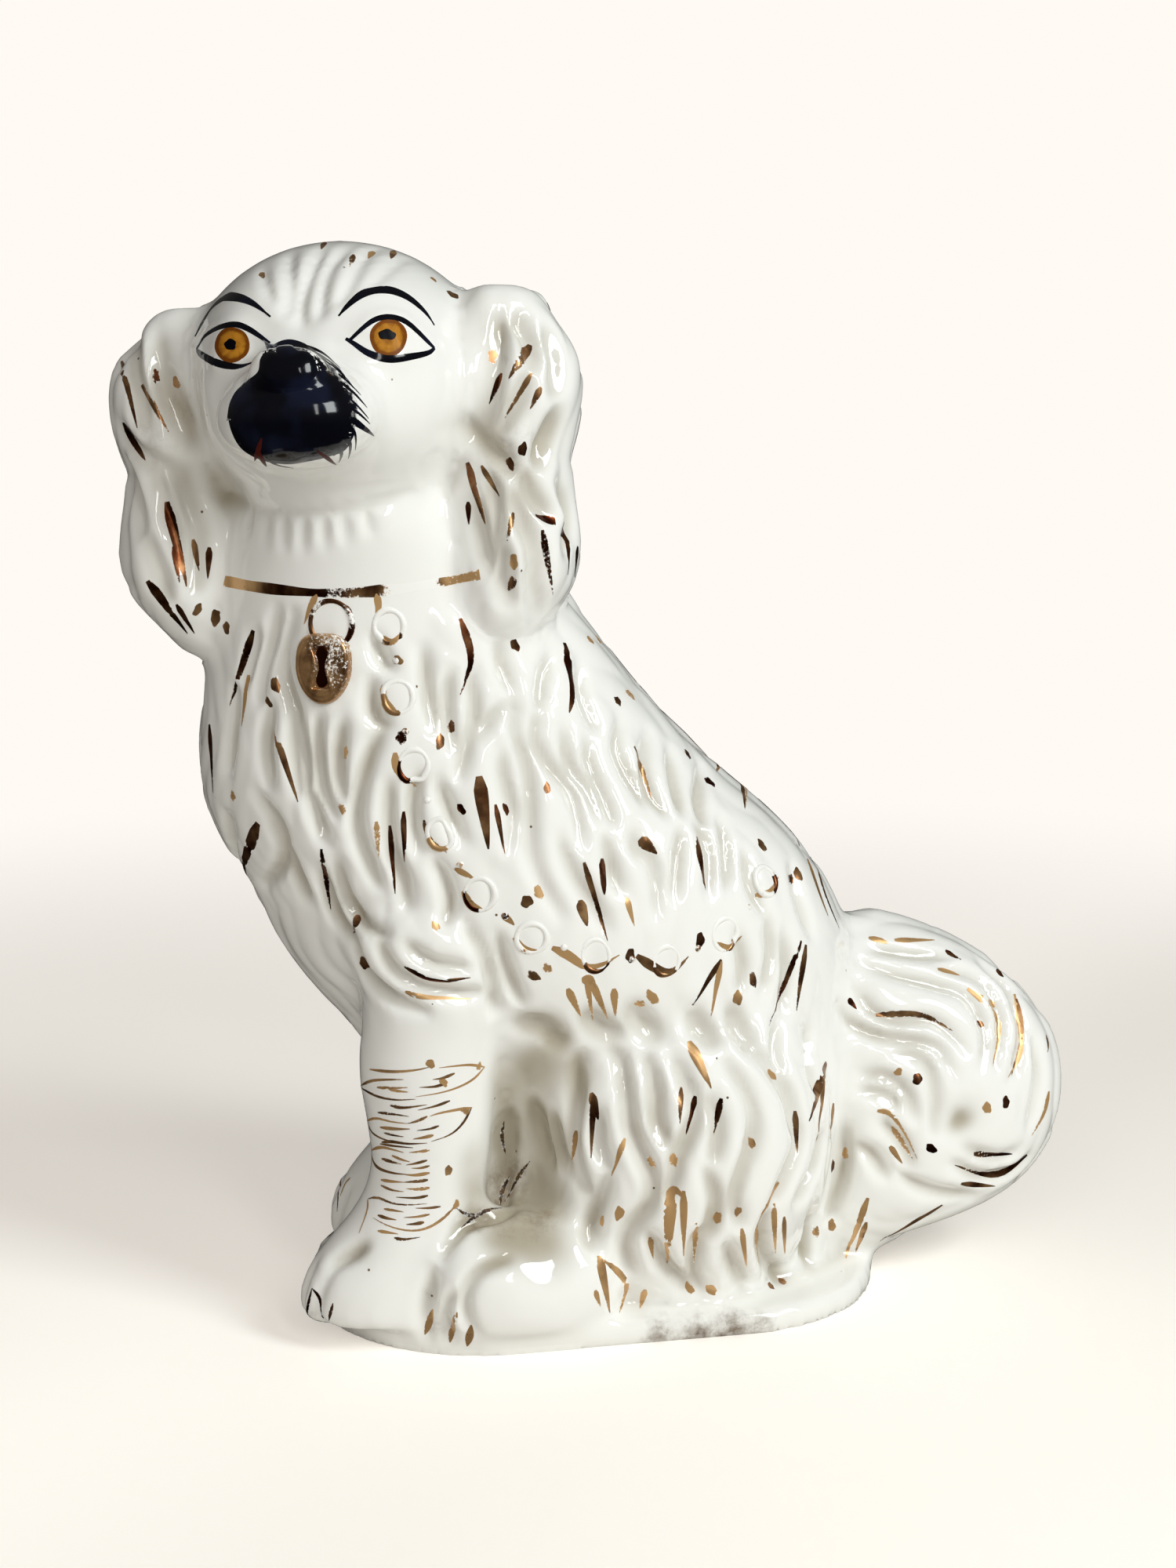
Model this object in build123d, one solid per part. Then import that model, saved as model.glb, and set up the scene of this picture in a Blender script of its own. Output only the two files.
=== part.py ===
"""Seated spaniel mantel figure in white glazed earthenware.

The figure is hollow ware: clay pieces pressed in separate moulds, luted together with slip on a base
slab, glazed, then painted with enamel and gilding. Each pressed piece, applied sprig and fired coat is
its own solid. Lengths are millimetres. The body runs along X with the chest towards -X and the tail
towards +X, the show side faces -Y, +Z is up, and the origin is the middle of the slab's underside.
"""

import os
from math import cos, radians, sin, sqrt

from build123d import *

# Pressed clay, fired coats and the overrun of cuts
wall = 5.0
enamel_coat = 0.5
gilt_coat = 0.6
cut_overrun = 30.0

# Base slab with the firing vent through it, and the holes pierced under each luted hollow
slab_length = 168.0
slab_depth = 112.0
slab_thickness = 7.0
slab_edge_radius = 2.5
SLAB_CORNER_SHARE = 0.45
vent_diameter = 12.0
pierce_diameter = 8.0
VENT_ALONG_SHARE = 0.14

# Body, from the slab to the top of the neck, parted along its length
body_length = 160.0
body_depth = 110.0
body_height = 235.0
seam_strip_width = 12.0
seam_strip_thickness = 3.0
# Each row: height, centre along the length, centre across the depth, half length, half depth
BODY_SECTION_SHARES = [
    (0.00, 0.08, 0.00, 0.41, 0.38),
    (0.14, 0.09, 0.00, 0.42, 0.39),
    (0.29, 0.05, 0.00, 0.455, 0.43),
    (0.42, -0.04, 0.00, 0.515, 0.48),
    (0.52, -0.12, 0.00, 0.515, 0.49),
    (0.63, -0.235, 0.00, 0.465, 0.47),
    (0.74, -0.31, -0.01, 0.38, 0.43),
    (0.82, -0.35, -0.03, 0.325, 0.385),
    (0.90, -0.395, -0.06, 0.265, 0.35),
    (1.00, -0.43, -0.10, 0.205, 0.30),
]

# Head with its muzzle and nose, turned from the body towards the show side
head_width = 84.0
head_depth = 92.0
head_height = 77.0
head_turn = -20.0
head_pitch = -3.0
head_roll = -2.0
HEAD_ALONG_SHARE = -0.45
HEAD_ACROSS_SHARE = -0.13
HEAD_LIFT_SHARE = 0.30
muzzle_width = 38.0
muzzle_length = 48.0
muzzle_height = 30.0
MUZZLE_FORWARD_SHARE = 0.46
MUZZLE_DROP_SHARE = 0.095
nose_width = 20.0
nose_length = 15.0
nose_height = 15.0
NOSE_FORWARD_SHARE = 0.34
NOSE_LIFT_SHARE = 0.30

# Painted eyes on low moulded eyeballs
eyeball_radius = 16.0
eyeball_bulge = 1.6
iris_diameter = 11.0
pupil_diameter = 4.0
EYE_SIDE_SHARE = 0.49
EYE_LIFT_SHARE = 0.24

# Ears, hanging beside the head, the off one set lower and closer
ear_length = 102.0
ear_thickness = 34.0
ear_breadth = 48.0
off_ear_drop = 6.0
off_ear_tuck = 2.0
EAR_SPREAD_SHARE = 0.55
EAR_TOP_SHARE = 0.36
# Each row: fall, shift outwards, half thickness, half breadth
EAR_SECTION_SHARES = [
    (0.00, -0.12, 0.15, 0.16),
    (0.04, -0.06, 0.33, 0.34),
    (0.13, 0.00, 0.44, 0.45),
    (0.30, 0.05, 0.50, 0.50),
    (0.50, 0.00, 0.46, 0.47),
    (0.70, 0.02, 0.50, 0.49),
    (0.87, -0.08, 0.40, 0.39),
    (0.96, -0.16, 0.24, 0.24),
    (1.00, -0.20, 0.10, 0.10),
]

# Forelegs, each pressed with its paw
foreleg_height = 118.0
foreleg_length = 40.0
foreleg_depth = 34.0
far_foreleg_setback = 9.0
FORELEG_ALONG_SHARE = -0.33
FORELEG_ACROSS_SHARE = 0.30
# Each row: height, forward shift, half length, half depth
FORELEG_SECTION_SHARES = [
    (0.00, 0.30, 0.65, 0.53),
    (0.09, 0.30, 0.63, 0.53),
    (0.19, 0.20, 0.53, 0.47),
    (0.30, 0.05, 0.44, 0.44),
    (0.45, 0.00, 0.45, 0.46),
    (0.66, 0.00, 0.50, 0.50),
    (0.87, -0.05, 0.60, 0.59),
    (1.00, -0.12, 0.50, 0.44),
]

# Haunches and hind paws
haunch_depth = 74.0
haunch_height = 112.0
HAUNCH_LENGTH_SHARE = 0.575
HAUNCH_ALONG_SHARE = 0.12
HAUNCH_ACROSS_SHARE = 0.22
HAUNCH_LIFT_SHARE = 0.40
hind_paw_depth = 36.0
hind_paw_height = 46.0
HIND_PAW_LENGTH_SHARE = 0.675
HIND_PAW_ALONG_SHARE = -0.55
HIND_PAW_ACROSS_SHARE = 0.40
HIND_PAW_LIFT_SHARE = 0.22
haunch_length = HAUNCH_LENGTH_SHARE * body_length
hind_paw_length = HIND_PAW_LENGTH_SHARE * haunch_length

# Tail, a plump plume that sweeps out behind and curls back against the haunch
tail_length = 92.0
tail_depth = 56.0
tail_height = 100.0
tail_base_lift = 1.0
TAIL_ALONG_SHARE = 0.60
# Each row: height, centre along the length, centre across the depth, half length, half depth
TAIL_SECTION_SHARES = [
    (0.00, -0.21, -0.10, 0.18, 0.25),
    (0.10, -0.12, -0.13, 0.30, 0.36),
    (0.24, -0.02, -0.14, 0.46, 0.45),
    (0.45, 0.02, -0.12, 0.50, 0.50),
    (0.67, -0.01, -0.08, 0.47, 0.48),
    (0.84, -0.08, -0.03, 0.36, 0.39),
    (0.94, -0.15, 0.00, 0.24, 0.25),
    (1.00, -0.21, 0.00, 0.12, 0.12),
]

# Gilt collar line and the padlock sprig hung from it
collar_width = 3.2
collar_tilt = -3.0
COLLAR_LIFT_SHARE = 0.87
lock_width = 14.5
lock_height = 17.0
lock_relief = 3.0
lock_corner_radius = 3.0
lock_edge_radius = 1.0
lock_turn = -36.0
LOCK_LIFT_SHARE = 0.79
keyhole_diameter = 3.2
keyhole_skirt_height = 4.0
keyhole_skirt_angle = 75.0
keyhole_depth = 1.0
shackle_diameter = 12.5
shackle_wire = 2.6
SHACKLE_LIFT_SHARE = 0.20

# Chain in relief, on a hanging curve across the shoulder and up to the back
chain_first_angle = 182.0
chain_sweep_angle = 124.0
chain_link_count = 10
chain_link_diameter = 8.6
chain_link_wire = 1.8
CHAIN_REACH_SHARE = 0.43
CHAIN_DROP_SHARE = 0.41
CHAIN_ALONG_SHARE = 0.03
CHAIN_TOP_SHARE = 0.84


def ellipsoid(width, depth, height):
    """Solid ellipsoid of those overall sizes about the origin."""
    return scale(Sphere(1), by=(width / 2, depth / 2, height / 2))


def above_slab(shape):
    """The part of a shape that stands over the slab's upper face."""
    return split(shape, bisect_by=Plane.XY.offset(slab_thickness), keep=Keep.TOP)


def largest(shape):
    """The main solid of a trimmed piece."""
    return max(shape.solids(), key=lambda solid: solid.volume)


def body_row(row):
    """One section of the body in millimetres: z, centre x, centre y, half length and half depth."""
    height, along, across, half_length, half_depth = row
    z = slab_thickness + body_height * height
    return z, body_length * along, body_depth * across, body_length * half_length, body_depth * half_depth


def body_row_at(height):
    """Section of the body at any share of its height, between the rows of the table."""
    for low, high in zip(BODY_SECTION_SHARES, BODY_SECTION_SHARES[1:]):
        if height <= high[0]:
            break
    blend = (height - low[0]) / (high[0] - low[0])
    return body_row([a + (b - a) * blend for a, b in zip(low, high)])


def body_form(grow=0.0):
    """Filled body form, grown or shrunk all round by a thickness."""
    rows = [body_row(row) for row in BODY_SECTION_SHARES]
    return loft([Pos(x, y, z) * Ellipse(a + grow, b + grow) for z, x, y, a, b in rows])


def head_frame():
    """Frame at the head's centre whose -Y is the way the face looks."""
    z = slab_thickness + body_height + HEAD_LIFT_SHARE * head_height
    place = Pos(HEAD_ALONG_SHARE * body_length, HEAD_ACROSS_SHARE * body_depth, z)
    return place * Rot(0, 0, head_turn) * Rot(head_pitch, head_roll, 0)


def muzzle_frame():
    """Centre of the muzzle in the head's frame."""
    return Pos(0, -MUZZLE_FORWARD_SHARE * head_depth, -MUZZLE_DROP_SHARE * head_height)


def nose_frame():
    """Centre of the nose in the head's frame."""
    return muzzle_frame() * Pos(0, -NOSE_FORWARD_SHARE * muzzle_length, NOSE_LIFT_SHARE * muzzle_height)


def skull_form(grow=0.0):
    """Filled skull in the head's frame."""
    return ellipsoid(head_width + 2 * grow, head_depth + 2 * grow, head_height + 2 * grow)


def muzzle_form(grow=0.0):
    """Filled muzzle in the head's frame, without its nose."""
    pad = ellipsoid(muzzle_width + 2 * grow, muzzle_length + 2 * grow, muzzle_height + 2 * grow)
    return muzzle_frame() * pad


def nose_form(grow=0.0):
    """Filled nose in the head's frame."""
    return nose_frame() * ellipsoid(nose_width + 2 * grow, nose_length + 2 * grow, nose_height + 2 * grow)


def eye_frame(side):
    """Frame at an eyeball's centre in the head's frame, with +Z along the gaze."""
    forward = sqrt(1 - EYE_SIDE_SHARE**2 - EYE_LIFT_SHARE**2)
    half = Vector(head_width / 2, head_depth / 2, head_height / 2)
    spot = Vector(side * EYE_SIDE_SHARE * half.X, -forward * half.Y, EYE_LIFT_SHARE * half.Z)
    gaze = Vector(spot.X / half.X**2, spot.Y / half.Y**2, spot.Z / half.Z**2).normalized()
    return Plane(spot - gaze * (eyeball_radius - eyeball_bulge), z_dir=gaze).location


def eyeballs():
    """Both moulded eyeballs in the head's frame."""
    return [eye_frame(side) * Sphere(eyeball_radius) for side in (-1, 1)]


def ear_form(side):
    """Filled ear, hanging plumb beside the turned head; the off ear is on the side -1."""
    turned = Pos(head_frame().position) * Rot(0, 0, head_turn)
    drop = off_ear_drop if side < 0 else 0
    tuck = off_ear_tuck if side < 0 else 0
    sections = []
    for fall, shift, half_thickness, half_breadth in EAR_SECTION_SHARES:
        out = EAR_SPREAD_SHARE * head_width - tuck + shift * ear_thickness
        up = EAR_TOP_SHARE * head_height - drop - fall * (ear_length - drop)
        outline = Ellipse(half_thickness * ear_thickness, half_breadth * ear_breadth)
        sections.append(turned * Pos(side * out, 0, up) * outline)
    return loft(sections)


def foreleg_form(side):
    """Filled foreleg with its paw; the show side is -1."""
    setback = far_foreleg_setback if side > 0 else 0
    y = side * FORELEG_ACROSS_SHARE * body_depth
    sections = []
    for height, forward, half_length, half_depth in FORELEG_SECTION_SHARES:
        x = FORELEG_ALONG_SHARE * body_length + setback - forward * foreleg_length
        z = slab_thickness + height * foreleg_height
        sections.append(Pos(x, y, z) * Ellipse(half_length * foreleg_length, half_depth * foreleg_depth))
    return loft(sections)


def haunch_form(side, grow=0.0):
    """Filled haunch dome before it is seated on the body and the slab."""
    x = HAUNCH_ALONG_SHARE * body_length
    y = side * HAUNCH_ACROSS_SHARE * body_depth
    z = slab_thickness + HAUNCH_LIFT_SHARE * haunch_height
    dome = ellipsoid(haunch_length + 2 * grow, haunch_depth + 2 * grow, haunch_height + 2 * grow)
    return Pos(x, y, z) * dome


def hind_paw_form(side):
    """Filled hind paw before it is seated."""
    x = HAUNCH_ALONG_SHARE * body_length + HIND_PAW_ALONG_SHARE * haunch_length
    y = side * HIND_PAW_ACROSS_SHARE * body_depth
    z = slab_thickness + HIND_PAW_LIFT_SHARE * hind_paw_height
    return Pos(x, y, z) * ellipsoid(hind_paw_length, hind_paw_depth, hind_paw_height)


def tail_form(grow=0.0):
    """Filled tail, or its hollow when the thickness is negative."""
    sections = []
    for height, along, across, half_length, half_depth in TAIL_SECTION_SHARES:
        x = TAIL_ALONG_SHARE * body_length + along * tail_length
        z = slab_thickness + tail_base_lift - grow + height * (tail_height + 2 * grow)
        outline = Ellipse(half_length * tail_length + grow, half_depth * tail_depth + grow)
        sections.append(Pos(x, across * tail_depth, z) * outline)
    return loft(sections)


def seat_on(form, start, direction):
    """Plane where a straight line first meets a form's surface, with +Z outwards and +Y upwards."""
    hits = form.find_intersection_points(Axis(start, direction))
    point, normal = min(hits, key=lambda hit: (hit[0] - start).dot(direction))
    if normal.dot(direction) > 0:
        normal = -normal
    return Plane(point, x_dir=Vector(0, 0, 1).cross(normal), z_dir=normal)


def build_slab():
    """Base slab with its rounded upper edge and the firing vent."""
    corner = SLAB_CORNER_SHARE * min(slab_length, slab_depth)
    slab = extrude(RectangleRounded(slab_length, slab_depth, corner), slab_thickness)
    upper_edges = slab.faces().sort_by(Axis.Z)[-1].edges()
    slab = fillet(upper_edges, min(slab_edge_radius, slab_thickness / 2))
    return slab - Pos(VENT_ALONG_SHARE * slab_length, 0, 0) * Cylinder(vent_diameter / 2, cut_overrun)


def pierced_holes():
    """Cutters for the holes through the body wall behind the haunches and the tail, which let air out."""
    z = slab_thickness + HAUNCH_LIFT_SHARE * haunch_height
    bore = Cylinder(pierce_diameter / 2, 2 * body_depth)
    across = Pos(HAUNCH_ALONG_SHARE * body_length, 0, z) * Rot(90, 0, 0) * bore
    behind = Pos(TAIL_ALONG_SHARE * body_length + body_depth / 2, 0, z) * Rot(0, 90, 0) * bore
    return [across, behind]


def build_body(body):
    """The two pressed halves of the body, and the strips of clay over their joint inside."""
    holes = pierced_holes()
    inside = body_form(-wall)
    shell = body - [inside, *holes]
    front = split(shell, bisect_by=Plane.XZ, keep=Keep.TOP)
    back = split(shell, bisect_by=Plane.XZ, keep=Keep.BOTTOM)
    band = Pos(0, 0, slab_thickness + body_height / 2) * Box(2 * body_length, seam_strip_width, body_height)
    lining = inside - body_form(-wall - seam_strip_thickness)
    strips = (lining & band) - holes
    chest_strip, back_strip = strips.solids().sort_by(Axis.X)
    return front, back, chest_strip, back_strip


def build_head(body):
    """Face and crown of the head, parted from ear to ear, and the filled head for trimming others."""
    frame = head_frame()
    filled = skull_form() + [muzzle_form(), nose_form(), *eyeballs()]
    shell = filled - [skull_form(-wall), muzzle_form(-wall)]
    face = split(shell, bisect_by=Plane.XZ, keep=Keep.TOP)
    crown = split(shell, bisect_by=Plane.XZ, keep=Keep.BOTTOM)
    return frame * face - body, frame * crown - body, frame * filled


def build_eye(side, diameter, undercoat):
    """Round patch of enamel on an eyeball, over a coat already there."""
    under = eyeball_radius + undercoat
    coat = Sphere(under + enamel_coat) - Sphere(under)
    patch = coat & extrude(Circle(diameter / 2), 2 * eyeball_radius)
    return head_frame() * eye_frame(side) * patch


def build_muzzle_coats():
    """Coats of dark enamel over the muzzle and over the nose."""
    nose = nose_form(enamel_coat)
    muzzle_coat = muzzle_form(enamel_coat) - [muzzle_form(), nose, skull_form(), *eyeballs()]
    nose_coat = nose - [nose_form(), muzzle_form(), skull_form()]
    return head_frame() * muzzle_coat, head_frame() * nose_coat


def build_collar(body, ears):
    """Gilt line round the neck, parted by the ears into the run at the throat and the run at the nape."""
    z = slab_thickness + COLLAR_LIFT_SHARE * body_height
    middle = Pos(HEAD_ALONG_SHARE * body_length, 0, z) * Rot(0, collar_tilt, 0)
    band = middle * Box(2 * body_length, 2 * body_depth, collar_width)
    collar = (band & body_form(gilt_coat)) - [body, *ears]
    return collar.solids().sort_by(Axis.Y)


def build_padlock(body):
    """Padlock sprig with its keyhole, and the shackle above it."""
    z, x, y, _, _ = body_row_at(LOCK_LIFT_SHARE)
    outwards = Vector(sin(radians(lock_turn)), -cos(radians(lock_turn)), 0)
    seat = seat_on(body, Vector(x, y, z) + outwards * body_length, -outwards)
    rise = (lock_height - lock_width) / 2
    upper = Pos(0, rise) * RectangleRounded(lock_width, lock_width, lock_corner_radius)
    upper = split(upper, bisect_by=Plane.XZ.offset(-rise), keep=Keep.BOTTOM)
    outline = upper + Pos(0, -rise) * Circle(lock_width / 2)
    plate = extrude(outline, lock_relief)
    face_edges = plate.faces().sort_by(Axis.Z)[-1].edges()
    plate = fillet(face_edges, min(lock_edge_radius, lock_relief / 2))
    skirt = Trapezoid(keyhole_diameter, keyhole_skirt_height, keyhole_skirt_angle)
    slot = Circle(keyhole_diameter / 2) + Pos(0, -keyhole_skirt_height / 2) * skirt
    keyhole = Pos(0, 0, lock_relief - keyhole_depth) * extrude(slot, lock_relief)
    lock = seat * (plate + extrude(outline, -2 * lock_relief) - keyhole) - body
    ring = Torus((shackle_diameter - shackle_wire) / 2, shackle_wire / 2)
    up = lock_height / 2 + SHACKLE_LIFT_SHARE * shackle_diameter
    return lock, seat * Pos(0, up, 0) * ring - [body, lock]


def build_chain(body):
    """Round links in relief, spaced evenly along the hanging curve."""
    centre = (CHAIN_ALONG_SHARE * body_length, slab_thickness + CHAIN_TOP_SHARE * body_height)
    radii = (CHAIN_REACH_SHARE * body_length, CHAIN_DROP_SHARE * body_height)
    arc = EllipticalCenterArc(centre, *radii, chain_first_angle, arc_size=chain_sweep_angle)
    curve = Plane.XZ * arc
    link = Torus((chain_link_diameter - chain_link_wire) / 2, chain_link_wire / 2)
    towards = Vector(0, 1, 0)
    links = []
    for index in range(chain_link_count):
        start = curve @ (index / (chain_link_count - 1)) - towards * body_length
        links.append(seat_on(body, start, towards) * link - body)
    return links


def build_all():
    """Every piece of the figure by name, each trimmed to what it is luted on."""
    pieces = {"base_slab": build_slab()}
    body = body_form()
    front, back, chest_strip, back_strip = build_body(body)
    pieces["body_front_half"] = front
    pieces["body_back_half"] = back
    pieces["chest_seam_strip"] = chest_strip
    pieces["back_seam_strip"] = back_strip
    pieces["head_face"], pieces["head_crown"], head = build_head(body)
    pieces["muzzle_enamel"], pieces["nose_enamel"] = build_muzzle_coats()
    tail = tail_form() - [tail_form(-wall), body]
    for side, word in ((-1, "near"), (1, "off")):
        haunch = haunch_form(side)
        foreleg = foreleg_form(side)
        tail -= haunch
        pieces[f"{word}_haunch"] = largest(above_slab(haunch - [haunch_form(side, -wall), body]))
        pieces[f"{word}_foreleg"] = largest(foreleg - [body, haunch])
        pieces[f"{word}_hind_paw"] = largest(above_slab(hind_paw_form(side) - [body, haunch, foreleg]))
        pieces[f"{word}_ear"] = largest(ear_form(-side) - [head, body])
        pieces[f"{word}_iris"] = build_eye(-side, iris_diameter, 0)
        pieces[f"{word}_pupil"] = build_eye(-side, pupil_diameter, enamel_coat)
    pieces["tail"] = largest(tail)
    ears = [pieces["near_ear"], pieces["off_ear"]]
    pieces["throat_collar"], pieces["nape_collar"] = build_collar(body, ears)
    pieces["padlock"], pieces["padlock_shackle"] = build_padlock(body)
    for number, link in enumerate(build_chain(body), start=1):
        pieces[f"chain_link_{number:02d}"] = link
    return pieces


def main():
    """Writes one STEP file for each piece."""
    os.makedirs("parts", exist_ok=True)
    for name, piece in build_all().items():
        export_step(piece, f"parts/{name}.step")


if __name__ == "__main__":
    main()
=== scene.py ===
"""Looks of a seated spaniel mantel figure in white glazed earthenware, laid out as an add-on.

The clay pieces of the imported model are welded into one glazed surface, modelled with combed fur, a face and
toes, and parted again along their luted joints. Enamel and gilding lie on that surface as thin fired coats.
Lengths in the tables are millimetres in the model's frame, and meshes are made in metres.
"""

from functools import partial
from math import cos, pi, radians, sin

import bpy
import numpy as np
from bpy.props import FloatProperty, FloatVectorProperty, IntProperty, PointerProperty
from mathutils import Matrix, Vector
from mathutils.bvhtree import BVHTree
from mathutils.kdtree import KDTree


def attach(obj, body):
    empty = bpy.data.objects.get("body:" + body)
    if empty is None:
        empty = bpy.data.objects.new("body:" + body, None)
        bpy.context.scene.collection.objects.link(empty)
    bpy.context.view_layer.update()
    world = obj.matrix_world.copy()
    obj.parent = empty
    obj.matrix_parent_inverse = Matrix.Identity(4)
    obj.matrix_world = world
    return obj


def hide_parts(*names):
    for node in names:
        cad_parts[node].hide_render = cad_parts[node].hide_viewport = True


bl_info = {
    "name": "Glazed Spaniel Figure",
    "version": (1, 0, 0),
    "blender": (4, 5, 0),
    "location": "View3D > Sidebar > Spaniel",
    "description": "Glazed ware, enamel and gilding of a seated spaniel mantel figure",
    "category": "Object",
}

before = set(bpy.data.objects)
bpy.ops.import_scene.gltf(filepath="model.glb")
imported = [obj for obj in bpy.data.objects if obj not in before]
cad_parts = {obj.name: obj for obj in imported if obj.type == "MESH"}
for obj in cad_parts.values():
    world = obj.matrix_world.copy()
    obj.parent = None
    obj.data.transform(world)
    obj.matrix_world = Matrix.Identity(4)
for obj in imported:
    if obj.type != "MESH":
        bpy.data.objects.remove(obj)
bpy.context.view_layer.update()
MM = 0.001
UP = Vector((0, 0, 1))

# Clay pieces that share the glazed surface
CLAY_NODES = (
    "base_slab", "body_front_half", "body_back_half", "head_face", "head_crown", "near_ear", "off_ear",
    "near_foreleg", "off_foreleg", "near_haunch", "off_haunch", "near_hind_paw", "off_hind_paw", "tail",
)
SEAM_NODES = ("chest_seam_strip", "back_seam_strip")
CHAIN_NODES = tuple(name for name in sorted(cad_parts) if name.startswith("chain_link_"))
EAR_NODES = ("near_ear", "off_ear")
HEAD_NODES = ("head_face", "head_crown")
FURRED_NODES = ("body_front_half", "body_back_half", "near_haunch", "off_haunch", "tail") + EAR_NODES

# Photograph and camera: the picture's size, the lens in its pixels, and the middle of the view
PICTURE_WIDTH, PICTURE_HEIGHT = 1500, 2000
LENS_PIXELS = 3250.0
SENSOR_MM = 36.0
VIEW_TURN, VIEW_LIFT = -12.0, 10.5
VIEW_MIDDLE = Vector((-1.2, 0.0, 150.0))

# Head: its centre, and its turn, pitch and roll on the body
HEAD_CENTRE = Vector((-72.0, -14.3, 265.1))
HEAD_TURN, HEAD_PITCH, HEAD_ROLL = -20.0, -3.0, -2.0
MUZZLE_CENTRE = Vector((0.0, -42.3, -7.3))
NOSE_CENTRE = Vector((0.0, -58.6, 1.7))
NOSE_RADII = (10.0, 7.5, 7.5)
# Crease round the nose: its depth, and its place and breadth in radii of the nose
NOSE_CREASE, NOSE_CREASE_PLACE, NOSE_CREASE_BREADTH = 1.3, 1.16, 0.12
NECK_AXIS = Vector((-63.0, -6.0, 0.0))
VENT_MIDDLE = (23.5, 0.0)
VENT_RADIUS = 6.0
VENT_DEPTH = 5.0

# Weld: how far ahead in the head's frame the face starts, its lowest height, and how much it keeps its form
FACE_AHEAD, FACE_FOOT, FACE_HOLD = (30, 42), 232, 0.6
# Cove between cheeks and muzzle: its start and end ahead, its lowest height, the hollowness that counts,
# and the rounds and the gain with which it is evened out
CHEEK_AHEAD, MUZZLE_AHEAD, CHEEK_FOOT = (14, 24), (49, 54), 228
COVE_HOLLOW, COVE_SPREAD, COVE_ROUNDS, COVE_GAIN = (0.0, 0.07), 14, 28, 2.0
# Underside: its highest point, and how far down its normals face
UNDERSIDE_HEIGHT, UNDERSIDE_FACING = 1.2, -0.6

# Lie of the fur: place with its distance across, direction, pitch of the locks and their relief
FUR_LIE = (
    ((-106, 0, 185), (0.05, 0, -1.0), 6.6, 1.35),
    ((-98, 28, 196), (0.0, 0, -1.0), 6.4, 1.25),
    ((-104, 20, 145), (0.15, 0, -1.0), 7.0, 1.6),
    ((-80, 25, 108), (0.5, 0, -0.85), 7.5, 1.6),
    ((-48, 50, 103), (1.0, 0, -0.3), 7.8, 1.5),
    ((-66, 46, 172), (0.1, 0, -1.0), 7.8, 1.5),
    ((-45, 50, 135), (0.35, 0, -0.95), 8.5, 1.5),
    ((-10, 52, 160), (0.4, 0, -0.92), 10.5, 1.4),
    ((5, 52, 120), (0.25, 0, -0.97), 10.0, 1.4),
    ((0, 0, 205), (0.75, 0, -0.65), 10.5, 0.8),
    ((55, 20, 140), (0.5, 0, -0.87), 10.0, 1.0),
    ((72, 15, 90), (0.3, 0, -0.95), 9.0, 1.2),
    ((-38, 25, 222), (0.2, 0, -1.0), 9.0, 0.9),
    ((-12, 58, 75), (-0.25, 0, -1.0), 8.5, 1.6),
    ((18, 62, 80), (0.0, 0, -1.0), 8.5, 1.6),
    ((22, 62, 45), (0.05, 0, -1.0), 8.0, 1.7),
    ((50, 52, 60), (0.25, 0, -1.0), 8.5, 1.6),
    ((15, 58, 15), (0.2, 0, -1.0), 8.0, 1.4),
)
LIE_REACH = 26.0
EAR_PITCH, EAR_RELIEF = 10.5, 2.3
TAIL_PITCH, TAIL_RELIEF = 8.5, 1.7
CROWN_PITCH, CROWN_RELIEF = 9.0, 0.6
# Heights between which fur starts on the legs, stops under the collar and starts over the base, and places
# along the head between which it starts behind the face; the collar lies in front of one place
LEG_FUR, COLLAR_FUR, BASE_FUR, CROWN_FUR = (88, 104), (203, 209), (6, 15), (0, 18)
COLLAR_BACK = -20
# Free locks: spacing along and across and half breadth in pitches, tries to place them, step along one
LOCK_ALONG, LOCK_ACROSS, LOCK_BREADTH = 2.7, 0.84, 0.54
LOCK_TRIES, LOCK_STEP = 26000, 2.5
# Middle of the tail's curl, in pixels of the photograph
TAIL_CURL_PIXEL = (1205, 1425)

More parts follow.
